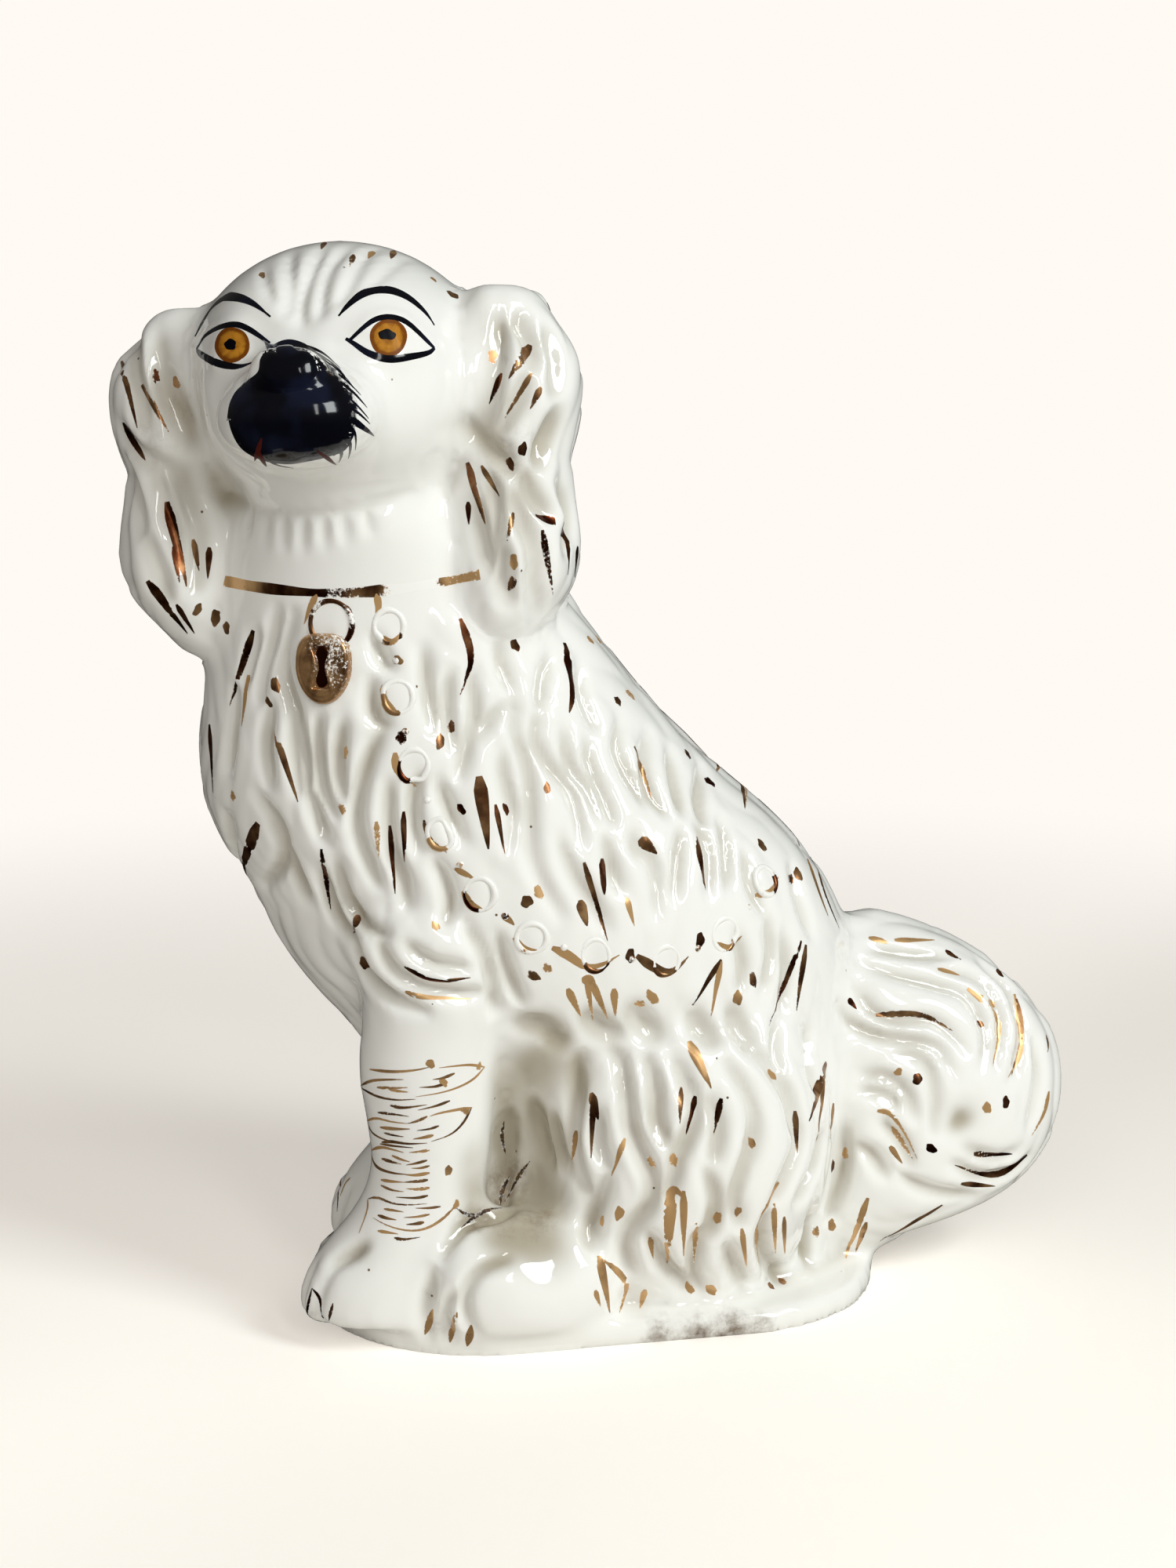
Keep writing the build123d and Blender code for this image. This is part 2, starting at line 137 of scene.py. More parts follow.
# Furrows between locks where the photograph shows them: pixels along each, in a listed run of points
CHEST_FURROWS = (
    (327, 809, 317, 840, 312, 870), (354, 782, 344, 817, 335, 851, 331, 894),
    (373, 786, 361, 836, 365, 875, 377, 913, 373, 955, 381, 1009), (392, 1009, 404, 1044, 415, 1071),
    (377, 905, 385, 955, 392, 1009), (406, 917, 404, 955, 411, 1009, 427, 1040),
    (436, 925, 431, 971, 435, 1021),
    (488, 931, 469, 971, 458, 1009, 454, 1048, 461, 1078, 473, 1109, 481, 1128),
    (477, 817, 488, 840, 496, 851), (473, 871, 477, 909, 492, 928),
    (496, 1001, 496, 1040, 500, 1086, 515, 1125, 519, 1155), (534, 990, 527, 1017, 527, 1048, 534, 1085),
    (554, 1101, 565, 1121, 573, 1151, 569, 1178), (346, 1048, 365, 1086, 381, 1121, 392, 1148),
    (331, 1017, 350, 1044, 361, 1075, 358, 1105, 338, 1128), (450, 1198, 465, 1240, 496, 1271, 540, 1290),
    (481, 1202, 500, 1236, 535, 1259, 581, 1268, 618, 1266), (519, 1205, 550, 1228, 596, 1236),
    (430, 1100, 440, 1140, 462, 1175, 490, 1192), (596, 1182, 619, 1221, 627, 1255, 631, 1290),
    (635, 1194, 646, 1236, 665, 1278), (300, 880, 296, 930, 290, 980), (345, 900, 338, 950, 345, 1000),
    (540, 830, 545, 880, 556, 930), (575, 860, 570, 910, 582, 960),
    (600, 860, 606, 910, 596, 950, 586, 990), (560, 1000, 575, 1040, 590, 1075),
    (290, 1040, 296, 1075, 310, 1110), (410, 1110, 425, 1160, 450, 1198),
)
FLANK_FURROWS = (
    (654, 883, 658, 933, 673, 975, 677, 1029, 677, 1087, 692, 1129, 715, 1168),
    (688, 906, 683, 941, 696, 968, 727, 1006, 738, 1037, 742, 1075), (608, 945, 623, 921, 646, 900),
    (720, 930, 728, 975, 752, 1010, 764, 1045), (750, 941, 754, 975, 773, 1021, 785, 1052),
    (792, 921, 788, 952, 804, 990, 823, 1025), (827, 937, 823, 975, 831, 1010, 850, 1040),
    (715, 1067, 727, 1106, 754, 1148, 773, 1183), (773, 1067, 781, 1106, 792, 1137),
    (808, 1060, 815, 1083, 831, 1098, 838, 1129, 838, 1167), (869, 1060, 865, 1106, 861, 1144),
    (892, 1052, 908, 1091, 904, 1137), (855, 960, 862, 1000, 870, 1035), (895, 980, 893, 1020, 900, 1050),
    (640, 960, 645, 1000, 655, 1040, 650, 1080), (920, 1050, 930, 1095, 928, 1130),
    (950, 1090, 960, 1130, 975, 1165), (740, 850, 745, 890, 760, 930), (700, 840, 692, 870, 688, 906),
    (635, 820, 640, 850, 654, 883), (1010, 1110, 1020, 1150, 1035, 1190), (980, 1170, 985, 1215, 975, 1260),
    (1000, 1190, 1006, 1240, 998, 1290), (940, 1190, 948, 1230, 944, 1262),
)
HAUNCH_FURROWS = (
    (781, 1339, 792, 1357, 799, 1400, 803, 1436, 817, 1471, 831, 1504,
     828, 1536, 803, 1568, 796, 1593, 806, 1618),
    (860, 1350, 874, 1379, 889, 1414, 878, 1450, 864, 1479, 858, 1507, 849, 1529),
    (903, 1496, 914, 1532, 906, 1568, 889, 1586, 885, 1625, 896, 1646),
    (928, 1357, 953, 1393, 964, 1429, 960, 1464, 949, 1493, 938, 1530, 945, 1560),
    (956, 1332, 981, 1357, 1006, 1393, 1017, 1429, 1021, 1460, 1003, 1504, 990, 1530),
    (774, 1504, 764, 1529, 756, 1557, 760, 1589), (828, 1575, 846, 1611, 864, 1632, 874, 1643),
    (928, 1590, 935, 1612, 949, 1639), (981, 1550, 974, 1579, 981, 1611, 996, 1625),
    (1035, 1540, 1028, 1575, 1031, 1605), (681, 1414, 685, 1450, 696, 1486),
    (703, 1429, 710, 1471, 724, 1496), (739, 1350, 735, 1400, 728, 1450, 735, 1493, 752, 1530),
    (1031, 1314, 1035, 1357, 1046, 1390), (992, 1307, 992, 1343, 1000, 1370),
    (1050, 1450, 1040, 1490, 1020, 1530), (1080, 1440, 1075, 1500, 1060, 1550),
    (824, 1350, 836, 1390, 838, 1430, 852, 1460), (760, 1420, 762, 1460, 776, 1490),
    (905, 1400, 918, 1440, 912, 1480),
)
# Hollows under the fringe where the flank's fur ends over the haunch
FRINGE_HOLLOWS = (
    (664, 1307, 696, 1310, 715, 1330), (750, 1296, 768, 1312, 785, 1320), (806, 1288, 822, 1308, 836, 1320),
    (886, 1296, 898, 1314, 910, 1326), (936, 1290, 948, 1316, 960, 1336),
)
TAIL_FURROWS = (
    (1070, 1284, 1092, 1309, 1127, 1323, 1168, 1328, 1200, 1340, 1215, 1370),
    (1096, 1264, 1113, 1288, 1144, 1300, 1185, 1300, 1209, 1314, 1233, 1340),
    (1099, 1229, 1144, 1243, 1196, 1255, 1230, 1266, 1251, 1295, 1258, 1329, 1251, 1360),
    (1202, 1233, 1251, 1250, 1271, 1278, 1278, 1316, 1268, 1360),
    (1251, 1229, 1285, 1260, 1302, 1302, 1302, 1343, 1289, 1378),
    (1144, 1343, 1178, 1353, 1192, 1391, 1192, 1443), (1099, 1371, 1133, 1374, 1158, 1398, 1168, 1425),
    (1099, 1391, 1130, 1398, 1147, 1412), (1089, 1457, 1113, 1474, 1130, 1500),
    (1216, 1484, 1251, 1500, 1289, 1495, 1309, 1478), (1233, 1465, 1268, 1478, 1294, 1470),
    (1320, 1330, 1325, 1380, 1315, 1430), (1110, 1210, 1160, 1216, 1210, 1220),
    (1150, 1500, 1190, 1520, 1240, 1525), (1125, 1430, 1150, 1455, 1165, 1490),
)
NEAR_EAR_FURROWS = (
    (638, 405, 634, 450, 631, 492, 623, 530, 608, 561), (677, 476, 662, 511, 642, 534, 627, 553),
    (600, 545, 619, 568, 640, 584, 655, 604), (669, 607, 685, 638, 702, 655),
    (654, 630, 669, 668, 681, 699, 680, 730), (605, 640, 612, 690, 624, 730),
    (642, 699, 642, 738, 650, 770), (690, 700, 682, 740, 684, 780), (712, 530, 704, 560, 690, 590),
    (665, 399, 680, 430, 684, 470), (700, 420, 712, 460, 708, 500), (715, 620, 728, 660, 722, 700),
    (625, 610, 632, 650, 630, 690),
)
OFF_EAR_FURROWS = (
    (172, 425, 168, 472, 176, 509, 184, 547), (200, 430, 205, 480, 222, 530, 240, 570),
    (155, 547, 176, 580, 213, 601, 250, 636), (193, 588, 205, 630, 226, 680, 238, 730),
    (184, 684, 201, 730, 213, 763), (250, 655, 254, 705, 250, 750), (165, 600, 172, 640, 180, 684),
    (225, 600, 240, 640, 262, 690),
)
# Gathers of the ruff under the chin, in pixels of the photograph from their tops to their ends
RUFF_GATHERS = (
    (318, 644, 315, 684), (341, 646, 337, 692), (362, 647, 361, 697), (388, 647, 385, 700),
    (412, 646, 413, 694), (437, 645, 441, 690), (466, 641, 472, 680),
    (276, 632, 330, 651, 400, 656, 470, 648, 520, 630),
)
# Creases between the legs, the paws and the haunch, and round the toes of the hind paw
LEG_CREASES = (
    (549, 1622, 543, 1650, 541, 1680, 545, 1704), (562, 1604, 585, 1568, 606, 1552, 632, 1543, 652, 1532),
    (604, 1700, 592, 1672, 594, 1645, 612, 1622, 645, 1608), (572, 1708, 566, 1690, 568, 1668, 580, 1650),
    (650, 1425, 645, 1490, 640, 1540), (462, 1590, 440, 1602, 422, 1612),
)
# Each group of furrows: its lines, their depth and their half width
FURROW_GROUPS = (
    (CHEST_FURROWS, 3.0, 2.2), (FLANK_FURROWS, 2.4, 2.5), (HAUNCH_FURROWS, 3.3, 2.7),
    (FRINGE_HOLLOWS, 3.4, 3.8), (TAIL_FURROWS, 2.3, 2.4), (NEAR_EAR_FURROWS, 3.2, 3.4),
    (OFF_EAR_FURROWS, 3.2, 3.4), (RUFF_GATHERS, 1.0, 2.0), (LEG_CREASES, 2.6, 2.2),
)
# Broad hollows of the modelling: pixel of the photograph, depth, radius, and how much the glaze darkens
# there, partly where it pools and partly as painted shade
HOLLOWS = (
    ((662, 1390), 1.0, 8.0, 0.55), ((674, 1452), 1.6, 9.0, 0.75), ((682, 1512), 1.7, 8.0, 0.9),
    ((635, 416), 3.0, 6.0, 0.5), ((606, 560), 2.2, 7.0, 0.3), ((702, 566), 2.0, 6.0, 0.3),
    ((238, 520), 2.0, 7.0, 0.35), ((262, 606), 2.0, 8.0, 0.4), ((1232, 1428), 2.4, 4.0, 0.35),
    ((1224, 1442), 1.2, 4.6, 0.25), ((702, 1362), 0.9, 7.0, 0.6), ((455, 1597), 1.0, 5.0, 0.35),
    ((602, 1480), 0.5, 5.0, 0.75), ((604, 1520), 0.4, 4.5, 0.6), ((682, 1560), 3.2, 8.0, 1.0),
    ((634, 1576), 1.6, 5.5, 0.55), ((708, 1606), 2.0, 7.0, 0.5),
)
# How far the off foreleg stands back, and the heights at its top and foot between which that ends
OFF_LEG_SETBACK, OFF_LEG_TOP, OFF_LEG_FOOT = 6.5, (70, 115), (3, 8)
# Share of the free locks that is kept where the photograph's own furrows are cut, share of their relief
# that lies under the clay, gain of the furrows and swell of the fur between them
SEEN_LOCK_SHARE, LOCK_LEVEL, FURROW_GAIN, SEEN_SWELL = 0.3, 0.6, 1.2, 0.45
# Glaze that pools, with painted shade: depths of the furrows and of sunken places at which the glaze is fully
# darkened, and rounds that find such places
FURROW_FULL, SUNK_FULL, SUNK_ROUNDS = 1.6, 2.0, 40
# Rim of the eyelids: its height and its breadth
LID_RISE, LID_BREADTH = 0.55, 1.5

# Shallow forms of the face in the head's frame: place, height, radius
FACE_DOMES = (
    ((8.5, -62.0, -12.5), 2.6, 6.5),
    ((-8.5, -62.0, -12.5), 2.6, 6.5),
    ((-16.0, -52.0, -11.0), 3.4, 7.5),
    ((15.0, -53.0, -11.0), 1.6, 7.0),
    ((21.0, -36.0, 21.0), 1.3, 8.0),
    ((-21.0, -36.0, 21.0), 1.3, 8.0),
    ((11.5, -44.0, 8.0), -1.6, 5.0),
    ((-11.5, -44.0, 8.0), -1.6, 5.0),
    ((27.0, -35.0, -12.0), 1.2, 12.0),
    ((-27.0, -35.0, -12.0), 1.2, 12.0),
)
PHILTRUM_DEPTH, PHILTRUM_BREADTH = 1.5, 3.0
STOP_DEPTH, STOP_BREADTH = 1.2, 5.0
GROOVE_BREADTH = 1.9
# Grooves combed up the forehead: place across it, lean, depth, and the heights between which each runs
FOREHEAD_GROOVES = (
    (-9.5, -0.42, 1.2, 18, 33), (-5.0, -0.2, 1.9, 15, 37), (-0.6, -0.02, 2.2, 13, 38),
    (3.8, 0.14, 2.0, 14, 38), (8.4, 0.32, 1.6, 17, 38), (13.5, 0.5, 0.9, 20, 36),
)
# Grooves between toes: front end of the paw, its sign along Y, places across it, length and height
PAWS = (
    (-90.8, -1, (27.0, 34.5, 42.0), 22.0, 27.0),
    (-81.8, 1, (27.0, 34.5, 42.0), 22.0, 27.0),
    (-60.2, -1, (38.0, 46.0, 54.0), 20.0, 30.0),
    (-60.2, 1, (38.0, 46.0, 54.0), 20.0, 30.0),
)
TOE_DEPTH, TOE_BREADTH = 1.5, 1.7

# Old soiling in the glaze, and painted shade in the hollows and creases about the foreleg, the haunch and the
# hind paw: pixel of the photograph, radius and strength
GRIME_AND_SHADE_SPOTS = (
    ((632, 1520), 9.0, 0.8), ((655, 1500), 6.0, 0.8), ((612, 1560), 6.0, 0.7), ((556, 1690), 4.0, 0.55),
    ((845, 1708), 6.0, 0.85), ((890, 1705), 6.0, 0.95), ((932, 1701), 6.0, 1.05), ((405, 1680), 4.0, 0.6),
    ((655, 575), 12.0, 0.5), ((235, 520), 9.0, 0.5), ((420, 640), 9.0, 0.3), ((190, 560), 9.0, 0.5),
    ((1120, 1590), 9.0, 0.4), ((455, 1597), 6.0, 0.4), ((545, 1650), 3.0, 0.5), ((968, 1697), 5.0, 0.9),
    ((700, 1330), 8.0, 0.45), ((684, 1556), 8.0, 0.66), ((640, 1570), 6.0, 0.5),
)

# Eyes: outlines of the lids, the iris and the pupil, and the brows, in pixels of the photograph
OFF_UPPER_LID = ((247, 442), (264, 426), (281, 417), (300, 413.5), (316, 419), (331, 428.5), (344, 438))
OFF_LOWER_LID = (
    (247, 442), (250, 447), (259, 454), (274, 462), (293, 467), (309, 467), (324, 461), (333, 453),
    (344, 440),
)
NEAR_UPPER_LID = (
    (446, 434), (462, 419), (478, 407.5), (496, 404), (515, 408.5), (531, 421), (547, 437), (554, 444),
)
NEAR_LOWER_LID = (
    (441, 432), (452, 438.5), (467, 449), (485, 456), (503, 458), (526, 454.5), (547, 450), (554, 444),
)
OFF_IRIS, OFF_IRIS_RADIUS = (296, 440), 22.5
NEAR_IRIS, NEAR_IRIS_RADIUS = (495.5, 430.5), 24.0
OFF_PUPIL, OFF_PUPIL_RADII = (294, 439.5), (8.2, 7.0)
NEAR_PUPIL, NEAR_PUPIL_RADII = (493.5, 427), (11.5, 7.2)
OFF_BROW = (
    (245, 424), (255, 404), (269, 387), (283, 379), (295, 378.5), (309, 381), (326, 389), (345, 404),
)
NEAR_BROW = (
    (432, 403), (444, 389), (460, 376), (478, 370), (496, 369.5), (515, 376), (531, 387), (545, 401),
    (554, 415),
)

# Muzzle: outline of its enamel, the brush hairs at its edge and the mouth, in pixels of the photograph
MUZZLE_OUTLINE = (
    (366, 433), (386, 437), (405, 450), (427, 470), (446, 492), (456, 518), (453, 548), (441, 573),
    (420, 582), (395, 588), (366, 592), (335, 587), (310, 574), (296, 552), (291, 525), (299, 502),
    (315, 486), (329, 474), (333, 456), (347, 441),
)
NOSE_OUTLINE = (
    (366, 438), (385, 444), (400, 457), (404, 474), (396, 489), (378, 497), (356, 497), (339, 489),
    (331, 475), (334, 458), (348, 444),
)
BRUSH_HAIRS = (
    (420, 470, 442, 486, 460, 504), (428, 484, 450, 500, 468, 520), (432, 500, 452, 514, 470, 534),
    (436, 515, 456, 526, 472, 541), (400, 448, 425, 464, 442, 483), (410, 457, 434, 475, 453, 497),
    (392, 441, 416, 453, 434, 470), (440, 540, 453, 552, 453, 574), (436, 555, 447, 566, 444, 585),
    (424, 568, 436, 577, 432, 590), (340, 583, 352, 593, 374, 597), (302, 503, 293, 519, 290, 537),
)
WHISKER = (446, 533, 460, 543, 477, 556)
# Where the brush ran dry at the muzzle's edge: from clean to ragged across the picture, and back down it
DRY_ACROSS, DRY_DOWN = (384, 430), (535, 570)
MOUTH_LINES = (
    (334, 558, 330, 572, 325, 587), (330, 572, 333, 584, 340, 594), (404, 574, 414, 581, 428, 592),
)

# Gilding on the coat: strokes as a few pixels of the photograph each, broad ones apart, and dots
HAUNCH_STROKES = (
    (724, 1261, 741, 1297), (748, 1248, 756, 1301), (754, 1251, 775, 1299), (783, 1261, 785, 1296),
    (920, 1224, 885, 1280), (920, 1226, 907, 1296), (735, 1442, 730, 1482), (797, 1452, 780, 1500),
    (872, 1519, 872, 1602), (829, 1578, 833, 1605), (888, 1560, 885, 1611),
    (770, 1608, 797, 1630, 799, 1652, 790, 1674), (759, 1646, 766, 1667), (823, 1645, 816, 1669),
    (946, 1567, 952, 1615), (993, 1508, 966, 1560, 968, 1610), (987, 1535, 989, 1599),
    (1000, 1552, 1001, 1599), (1107, 1528, 1079, 1605), (1105, 1559, 1091, 1599),
)
HAUNCH_BROAD = (
    (879, 1328, 907, 1388), (856, 1519, 851, 1611), (764, 1602, 778, 1674),
    (852, 1528, 861, 1517, 873, 1529), (745, 1255, 752, 1249, 760, 1262),
)
HAUNCH_DOTS = (
    (816, 1280), (832, 1272), (941, 1273), (984, 1371), (959, 1458), (831, 1482), (858, 1478), (1078, 1471),
    (768, 1557), (790, 1548), (915, 1553), (941, 1545), (1041, 1571), (1061, 1563), (879, 1643),
    (907, 1645), (983, 1640), (998, 1635),
)
HAUNCH_DARK_STROKES = (
    (1022, 1200, 981, 1308), (1028, 1205, 1016, 1289), (757, 1395, 754, 1477), (869, 1387, 867, 1433),
    (887, 1398, 875, 1447), (920, 1401, 910, 1447), (1052, 1379, 1041, 1455), (1014, 1417, 1017, 1471),
    (1063, 1407, 1059, 1452),
)
HAUNCH_DARK_BROAD = ((1054, 1356, 1032, 1430), (754, 1394, 763, 1428))
HAUNCH_DARK_DOTS = ((961, 1250), (1062, 1487))
TAIL_STROKES = (
    (1141, 1199, 1192, 1199), (1117, 1295, 1173, 1293, 1215, 1315), (1082, 1274, 1093, 1287),
    (1234, 1261, 1275, 1299, 1266, 1360), (1294, 1268, 1304, 1338, 1286, 1374),
    (1119, 1417, 1141, 1424, 1170, 1478), (1138, 1437, 1164, 1478), (1135, 1462, 1151, 1484),
    (1242, 1472, 1291, 1472), (1226, 1510, 1269, 1513), (1202, 1537, 1160, 1562, 1122, 1583),
)
TAIL_BROAD = ((1310, 1473, 1269, 1500, 1218, 1486),)
TAIL_DOTS = (
    (1264, 1280), (1250, 1306), (1145, 1368), (1171, 1376), (1259, 1413), (1283, 1406), (1188, 1465),
)
CHEST_STROKES = (
    (323, 804, 293, 900), (317, 861, 308, 927), (350, 933, 380, 1023), (267, 924, 272, 1011),
    (410, 1083, 422, 1161), (480, 1048, 483, 1095), (497, 1053, 504, 1140), (515, 1035, 516, 1099),
    (587, 789, 602, 840, 587, 886), (632, 1026, 644, 1089), (457, 1167, 451, 1190),
    (516, 1233, 551, 1251, 600, 1247), (517, 1265, 540, 1272, 600, 1274),
)
CHEST_BROAD = ((611, 990, 623, 1083), (329, 1050, 302, 1125))
CHEST_DOTS = (
    (342, 895), (351, 874), (297, 1015), (436, 1032), (441, 960), (657, 823), (576, 927), (562, 945),
    (588, 1032), (645, 1032), (672, 1150), (687, 1138), (556, 1181), (465, 1228), (681, 1245), (698, 1235),
    (698, 1005),
)
FLANK_STROKES = (
    (803, 823, 846, 889), (915, 956, 915, 982), (809, 952, 831, 1019), (947, 995, 950, 1032),
    (745, 1100, 775, 1200), (799, 1145, 809, 1181),
)
FLANK_BROAD = (
    (720, 820, 731, 879, 726, 909), (889, 1068, 900, 1135), (768, 1095, 771, 1141), (740, 1148, 749, 1181),
    (816, 1070, 838, 1089),
)
FLANK_DOTS = (
    (753, 816), (764, 816), (788, 894), (804, 886), (877, 962), (905, 997), (972, 1078), (1008, 1121),
    (1018, 1115),
)
NEAR_EAR_STROKES = (
    (640, 476, 624, 515), (678, 476, 644, 533), (690, 494, 676, 522), (737, 497, 742, 540, 731, 576),
    (614, 594, 637, 633), (597, 640, 598, 669), (655, 654, 647, 690), (692, 676, 705, 758),
    (737, 697, 733, 736),
)
NEAR_EAR_BROAD = ((676, 440, 649, 483), (596, 590, 619, 669), (683, 658, 721, 676, 724, 733))
NEAR_EAR_DOTS = ((577, 376), (702, 391), (629, 454), (651, 592), (667, 573), (655, 717), (653, 744))
OFF_EAR_STROKES = (
    (181, 491, 215, 551), (155, 461, 175, 546), (221, 697, 229, 743), (246, 688, 254, 728),
    (267, 698, 265, 738), (225, 771, 248, 808),
)
OFF_EAR_BROAD = ((157, 539, 185, 587), (213, 640, 238, 748), (188, 741, 239, 808))
OFF_EAR_DOTS = ((199, 480), (225, 488), (252, 778), (275, 788), (289, 801))
CROWN_STROKES = (
    (414, 309, 410, 318), (451, 325, 446, 340), (476, 321, 470, 330), (503, 320, 498, 330),
    (333, 348, 337, 356), (551, 354, 556, 360),
)
# Feathered gilt rings of the foreleg: pixels of the photograph along each hair of the feathers
FORELEG_RINGS = (
    (472, 1364, 500, 1367, 530, 1365, 548, 1361), (618, 1361, 600, 1358, 578, 1360, 560, 1362),
    (618, 1361, 602, 1378, 570, 1392, 530, 1399), (460, 1385, 475, 1378, 500, 1377, 515, 1377),
    (461, 1387, 480, 1398, 505, 1403, 530, 1402), (481, 1387, 500, 1388, 520, 1387),
    (497, 1390, 510, 1392, 521, 1393), (580, 1369, 565, 1375, 552, 1377), (570, 1381, 555, 1386, 535, 1387),
    (498, 1410, 515, 1413, 545, 1409), (574, 1404, 555, 1411, 533, 1416), (482, 1419, 500, 1421, 522, 1424),
    (467, 1430, 480, 1426, 500, 1431, 520, 1433), (469, 1432, 476, 1446, 495, 1455, 515, 1459),
    (602, 1413, 585, 1415, 560, 1420, 548, 1424), (601, 1414, 591, 1432, 575, 1447, 550, 1456),
    (485, 1438, 505, 1440, 523, 1440), (490, 1445, 502, 1448, 515, 1450), (545, 1424, 532, 1430, 520, 1433),
    (560, 1436, 548, 1440, 532, 1442), (553, 1448, 540, 1451, 527, 1453),
    (487, 1457, 500, 1456, 520, 1459, 545, 1458), (472, 1468, 485, 1463, 500, 1466, 515, 1470),
    (473, 1471, 480, 1488, 500, 1496, 520, 1498), (485, 1459, 505, 1462, 527, 1464),
    (548, 1467, 535, 1469, 522, 1470), (545, 1480, 530, 1484, 518, 1486), (487, 1478, 500, 1482, 512, 1485),
    (500, 1474, 512, 1479, 523, 1482), (548, 1487, 536, 1490, 525, 1490), (548, 1496, 530, 1499, 515, 1498),
    (486, 1505, 500, 1507, 515, 1508), (546, 1505, 530, 1507, 515, 1508), (486, 1512, 500, 1518, 515, 1520),
    (548, 1515, 532, 1517, 518, 1516), (546, 1525, 530, 1528, 505, 1527),
    (470, 1529, 482, 1527, 500, 1535, 522, 1537, 545, 1535), (469, 1530, 468, 1545, 458, 1573),
    (490, 1542, 503, 1544, 515, 1546), (482, 1550, 494, 1554, 506, 1556), (548, 1549, 532, 1552, 515, 1553),
    (584, 1534, 570, 1550, 550, 1565, 525, 1571, 495, 1564, 476, 1553), (562, 1539, 545, 1541, 530, 1541),
    (541, 1559, 530, 1561, 518, 1562), (482, 1570, 495, 1572, 508, 1574), (503, 1579, 515, 1581, 536, 1578),
    (436, 1502, 432, 1520, 430, 1546), (447, 1502, 440, 1510, 434, 1526),
)
FORELEG_KNOBS = ((549, 1357), (582, 1536), (566, 1381), (611, 1360), (594, 1417), (572, 1493))
CLAW_STROKES = (
    (398, 1643, 393, 1665, 390, 1690), (398, 1643, 409, 1658, 416, 1702), (425, 1662, 420, 1682, 417, 1704),
    (390, 1690, 400, 1700, 417, 1704),
)
BROAD_CLAWS = (
    (552, 1670, 548, 1686, 542, 1702), (583, 1674, 577, 1694, 574, 1712), (601, 1690, 599, 1704, 596, 1717),
)
# Dark, rubbed lines in the crevice between the foreleg and the haunch
CREVICE_LINES = (
    (676, 1481, 664, 1496, 655, 1512, 643, 1534), (650, 1500, 640, 1520, 638, 1540),
    (640, 1541, 620, 1544, 606, 1552, 588, 1566), (643, 1430, 640, 1450, 645, 1472),
    (612, 1549, 598, 1550, 582, 1541),
)
# Chain: middle of each link in pixels of the photograph, the turn of its gilding and how much of it is gilt
LINKS = (
    ((496, 799), 285, 0.25), ((507, 889), 215, 0.3), ((527, 977), 225, 0.3), ((562, 1064), 240, 0.28),
    ((612, 1141), 215, 0.26), ((678, 1197), 250, 0.0), ((760, 1219), 262, 0.36), ((850, 1226), 262, 0.34),
    ((926, 1192), 300, 0.16), ((978, 1123), 325, 0.24),
)
CHAIN_STROKES = (
    (480, 757, 483, 776, 477, 796), (404, 758, 395, 776, 388, 796), (438, 772, 447, 782, 449, 798),
    (484, 812, 500, 820, 513, 806), (489, 874, 490, 892, 511, 911), (504, 960, 507, 985, 531, 1003),
    (541, 1046, 545, 1066, 571, 1088), (590, 1137, 600, 1152, 618, 1161), (655, 1196, 668, 1209, 690, 1213),
    (912, 1203, 930, 1209, 946, 1194), (963, 1142, 982, 1138, 993, 1118), (580, 1108, 596, 1116, 606, 1122),
    (640, 1166, 650, 1174, 656, 1180),
)
CHAIN_BROAD = ((704, 1209, 728, 1219, 752, 1238, 790, 1218), (812, 1219, 834, 1234, 856, 1242, 878, 1220))
CHAIN_DOTS = ((893, 1199), (804, 1219), (508, 842), (512, 940))
# Thin strokes along the back's outline
BACK_STROKES = (
    (801, 806, 822, 824, 846, 848), (806, 822, 824, 846, 848, 884), (868, 872, 890, 892, 912, 918),
    (884, 894, 905, 918, 926, 940), (930, 966, 948, 984, 960, 1000), (976, 1010, 990, 1032, 1006, 1052),
    (1000, 1040, 1012, 1060, 1022, 1084), (1030, 1096, 1044, 1136, 1056, 1168),
    (1036, 1092, 1052, 1140, 1070, 1184), (947, 985, 952, 1008, 950, 1032), (915, 950, 918, 972, 914, 984),
    (1108, 1196, 1126, 1200, 1132, 1204), (1206, 1212, 1216, 1219, 1226, 1224),
    (1196, 1236, 1212, 1240, 1224, 1244), (1272, 1236, 1276, 1242, 1280, 1246),
    (1296, 1274, 1304, 1320, 1290, 1372), (1334, 1320, 1337, 1332, 1336, 1342),
    (1338, 1392, 1332, 1420, 1316, 1448),
)
# Share of thin, tan strokes in each part of the coat, and its strokes, broad strokes and dots
GILT_PATCHES = (
    ("haunch", 0.95, HAUNCH_STROKES, HAUNCH_BROAD, HAUNCH_DOTS),
    ("haunch_dark", 0.0, HAUNCH_DARK_STROKES, HAUNCH_DARK_BROAD, HAUNCH_DARK_DOTS),
    ("tail", 0.5, TAIL_STROKES, TAIL_BROAD, TAIL_DOTS),
    ("chest", 0.35, CHEST_STROKES, CHEST_BROAD, CHEST_DOTS),
    ("flank", 0.3, FLANK_STROKES, FLANK_BROAD, FLANK_DOTS),
    ("near_ear", 0.05, NEAR_EAR_STROKES, NEAR_EAR_BROAD, NEAR_EAR_DOTS),
    ("off_ear", 0.0, OFF_EAR_STROKES, OFF_EAR_BROAD, OFF_EAR_DOTS),
    ("crown", 0.3, CROWN_STROKES, (), ()),
    ("chain", 0.7, CHAIN_STROKES, CHAIN_BROAD, CHAIN_DOTS),
    ("back", 0.3, BACK_STROKES, (), ()),
)

# Padlock and shackle: their middles in pixels of the photograph
PADLOCK_PIXEL, SHACKLE_PIXEL = (413, 853), (422, 796)
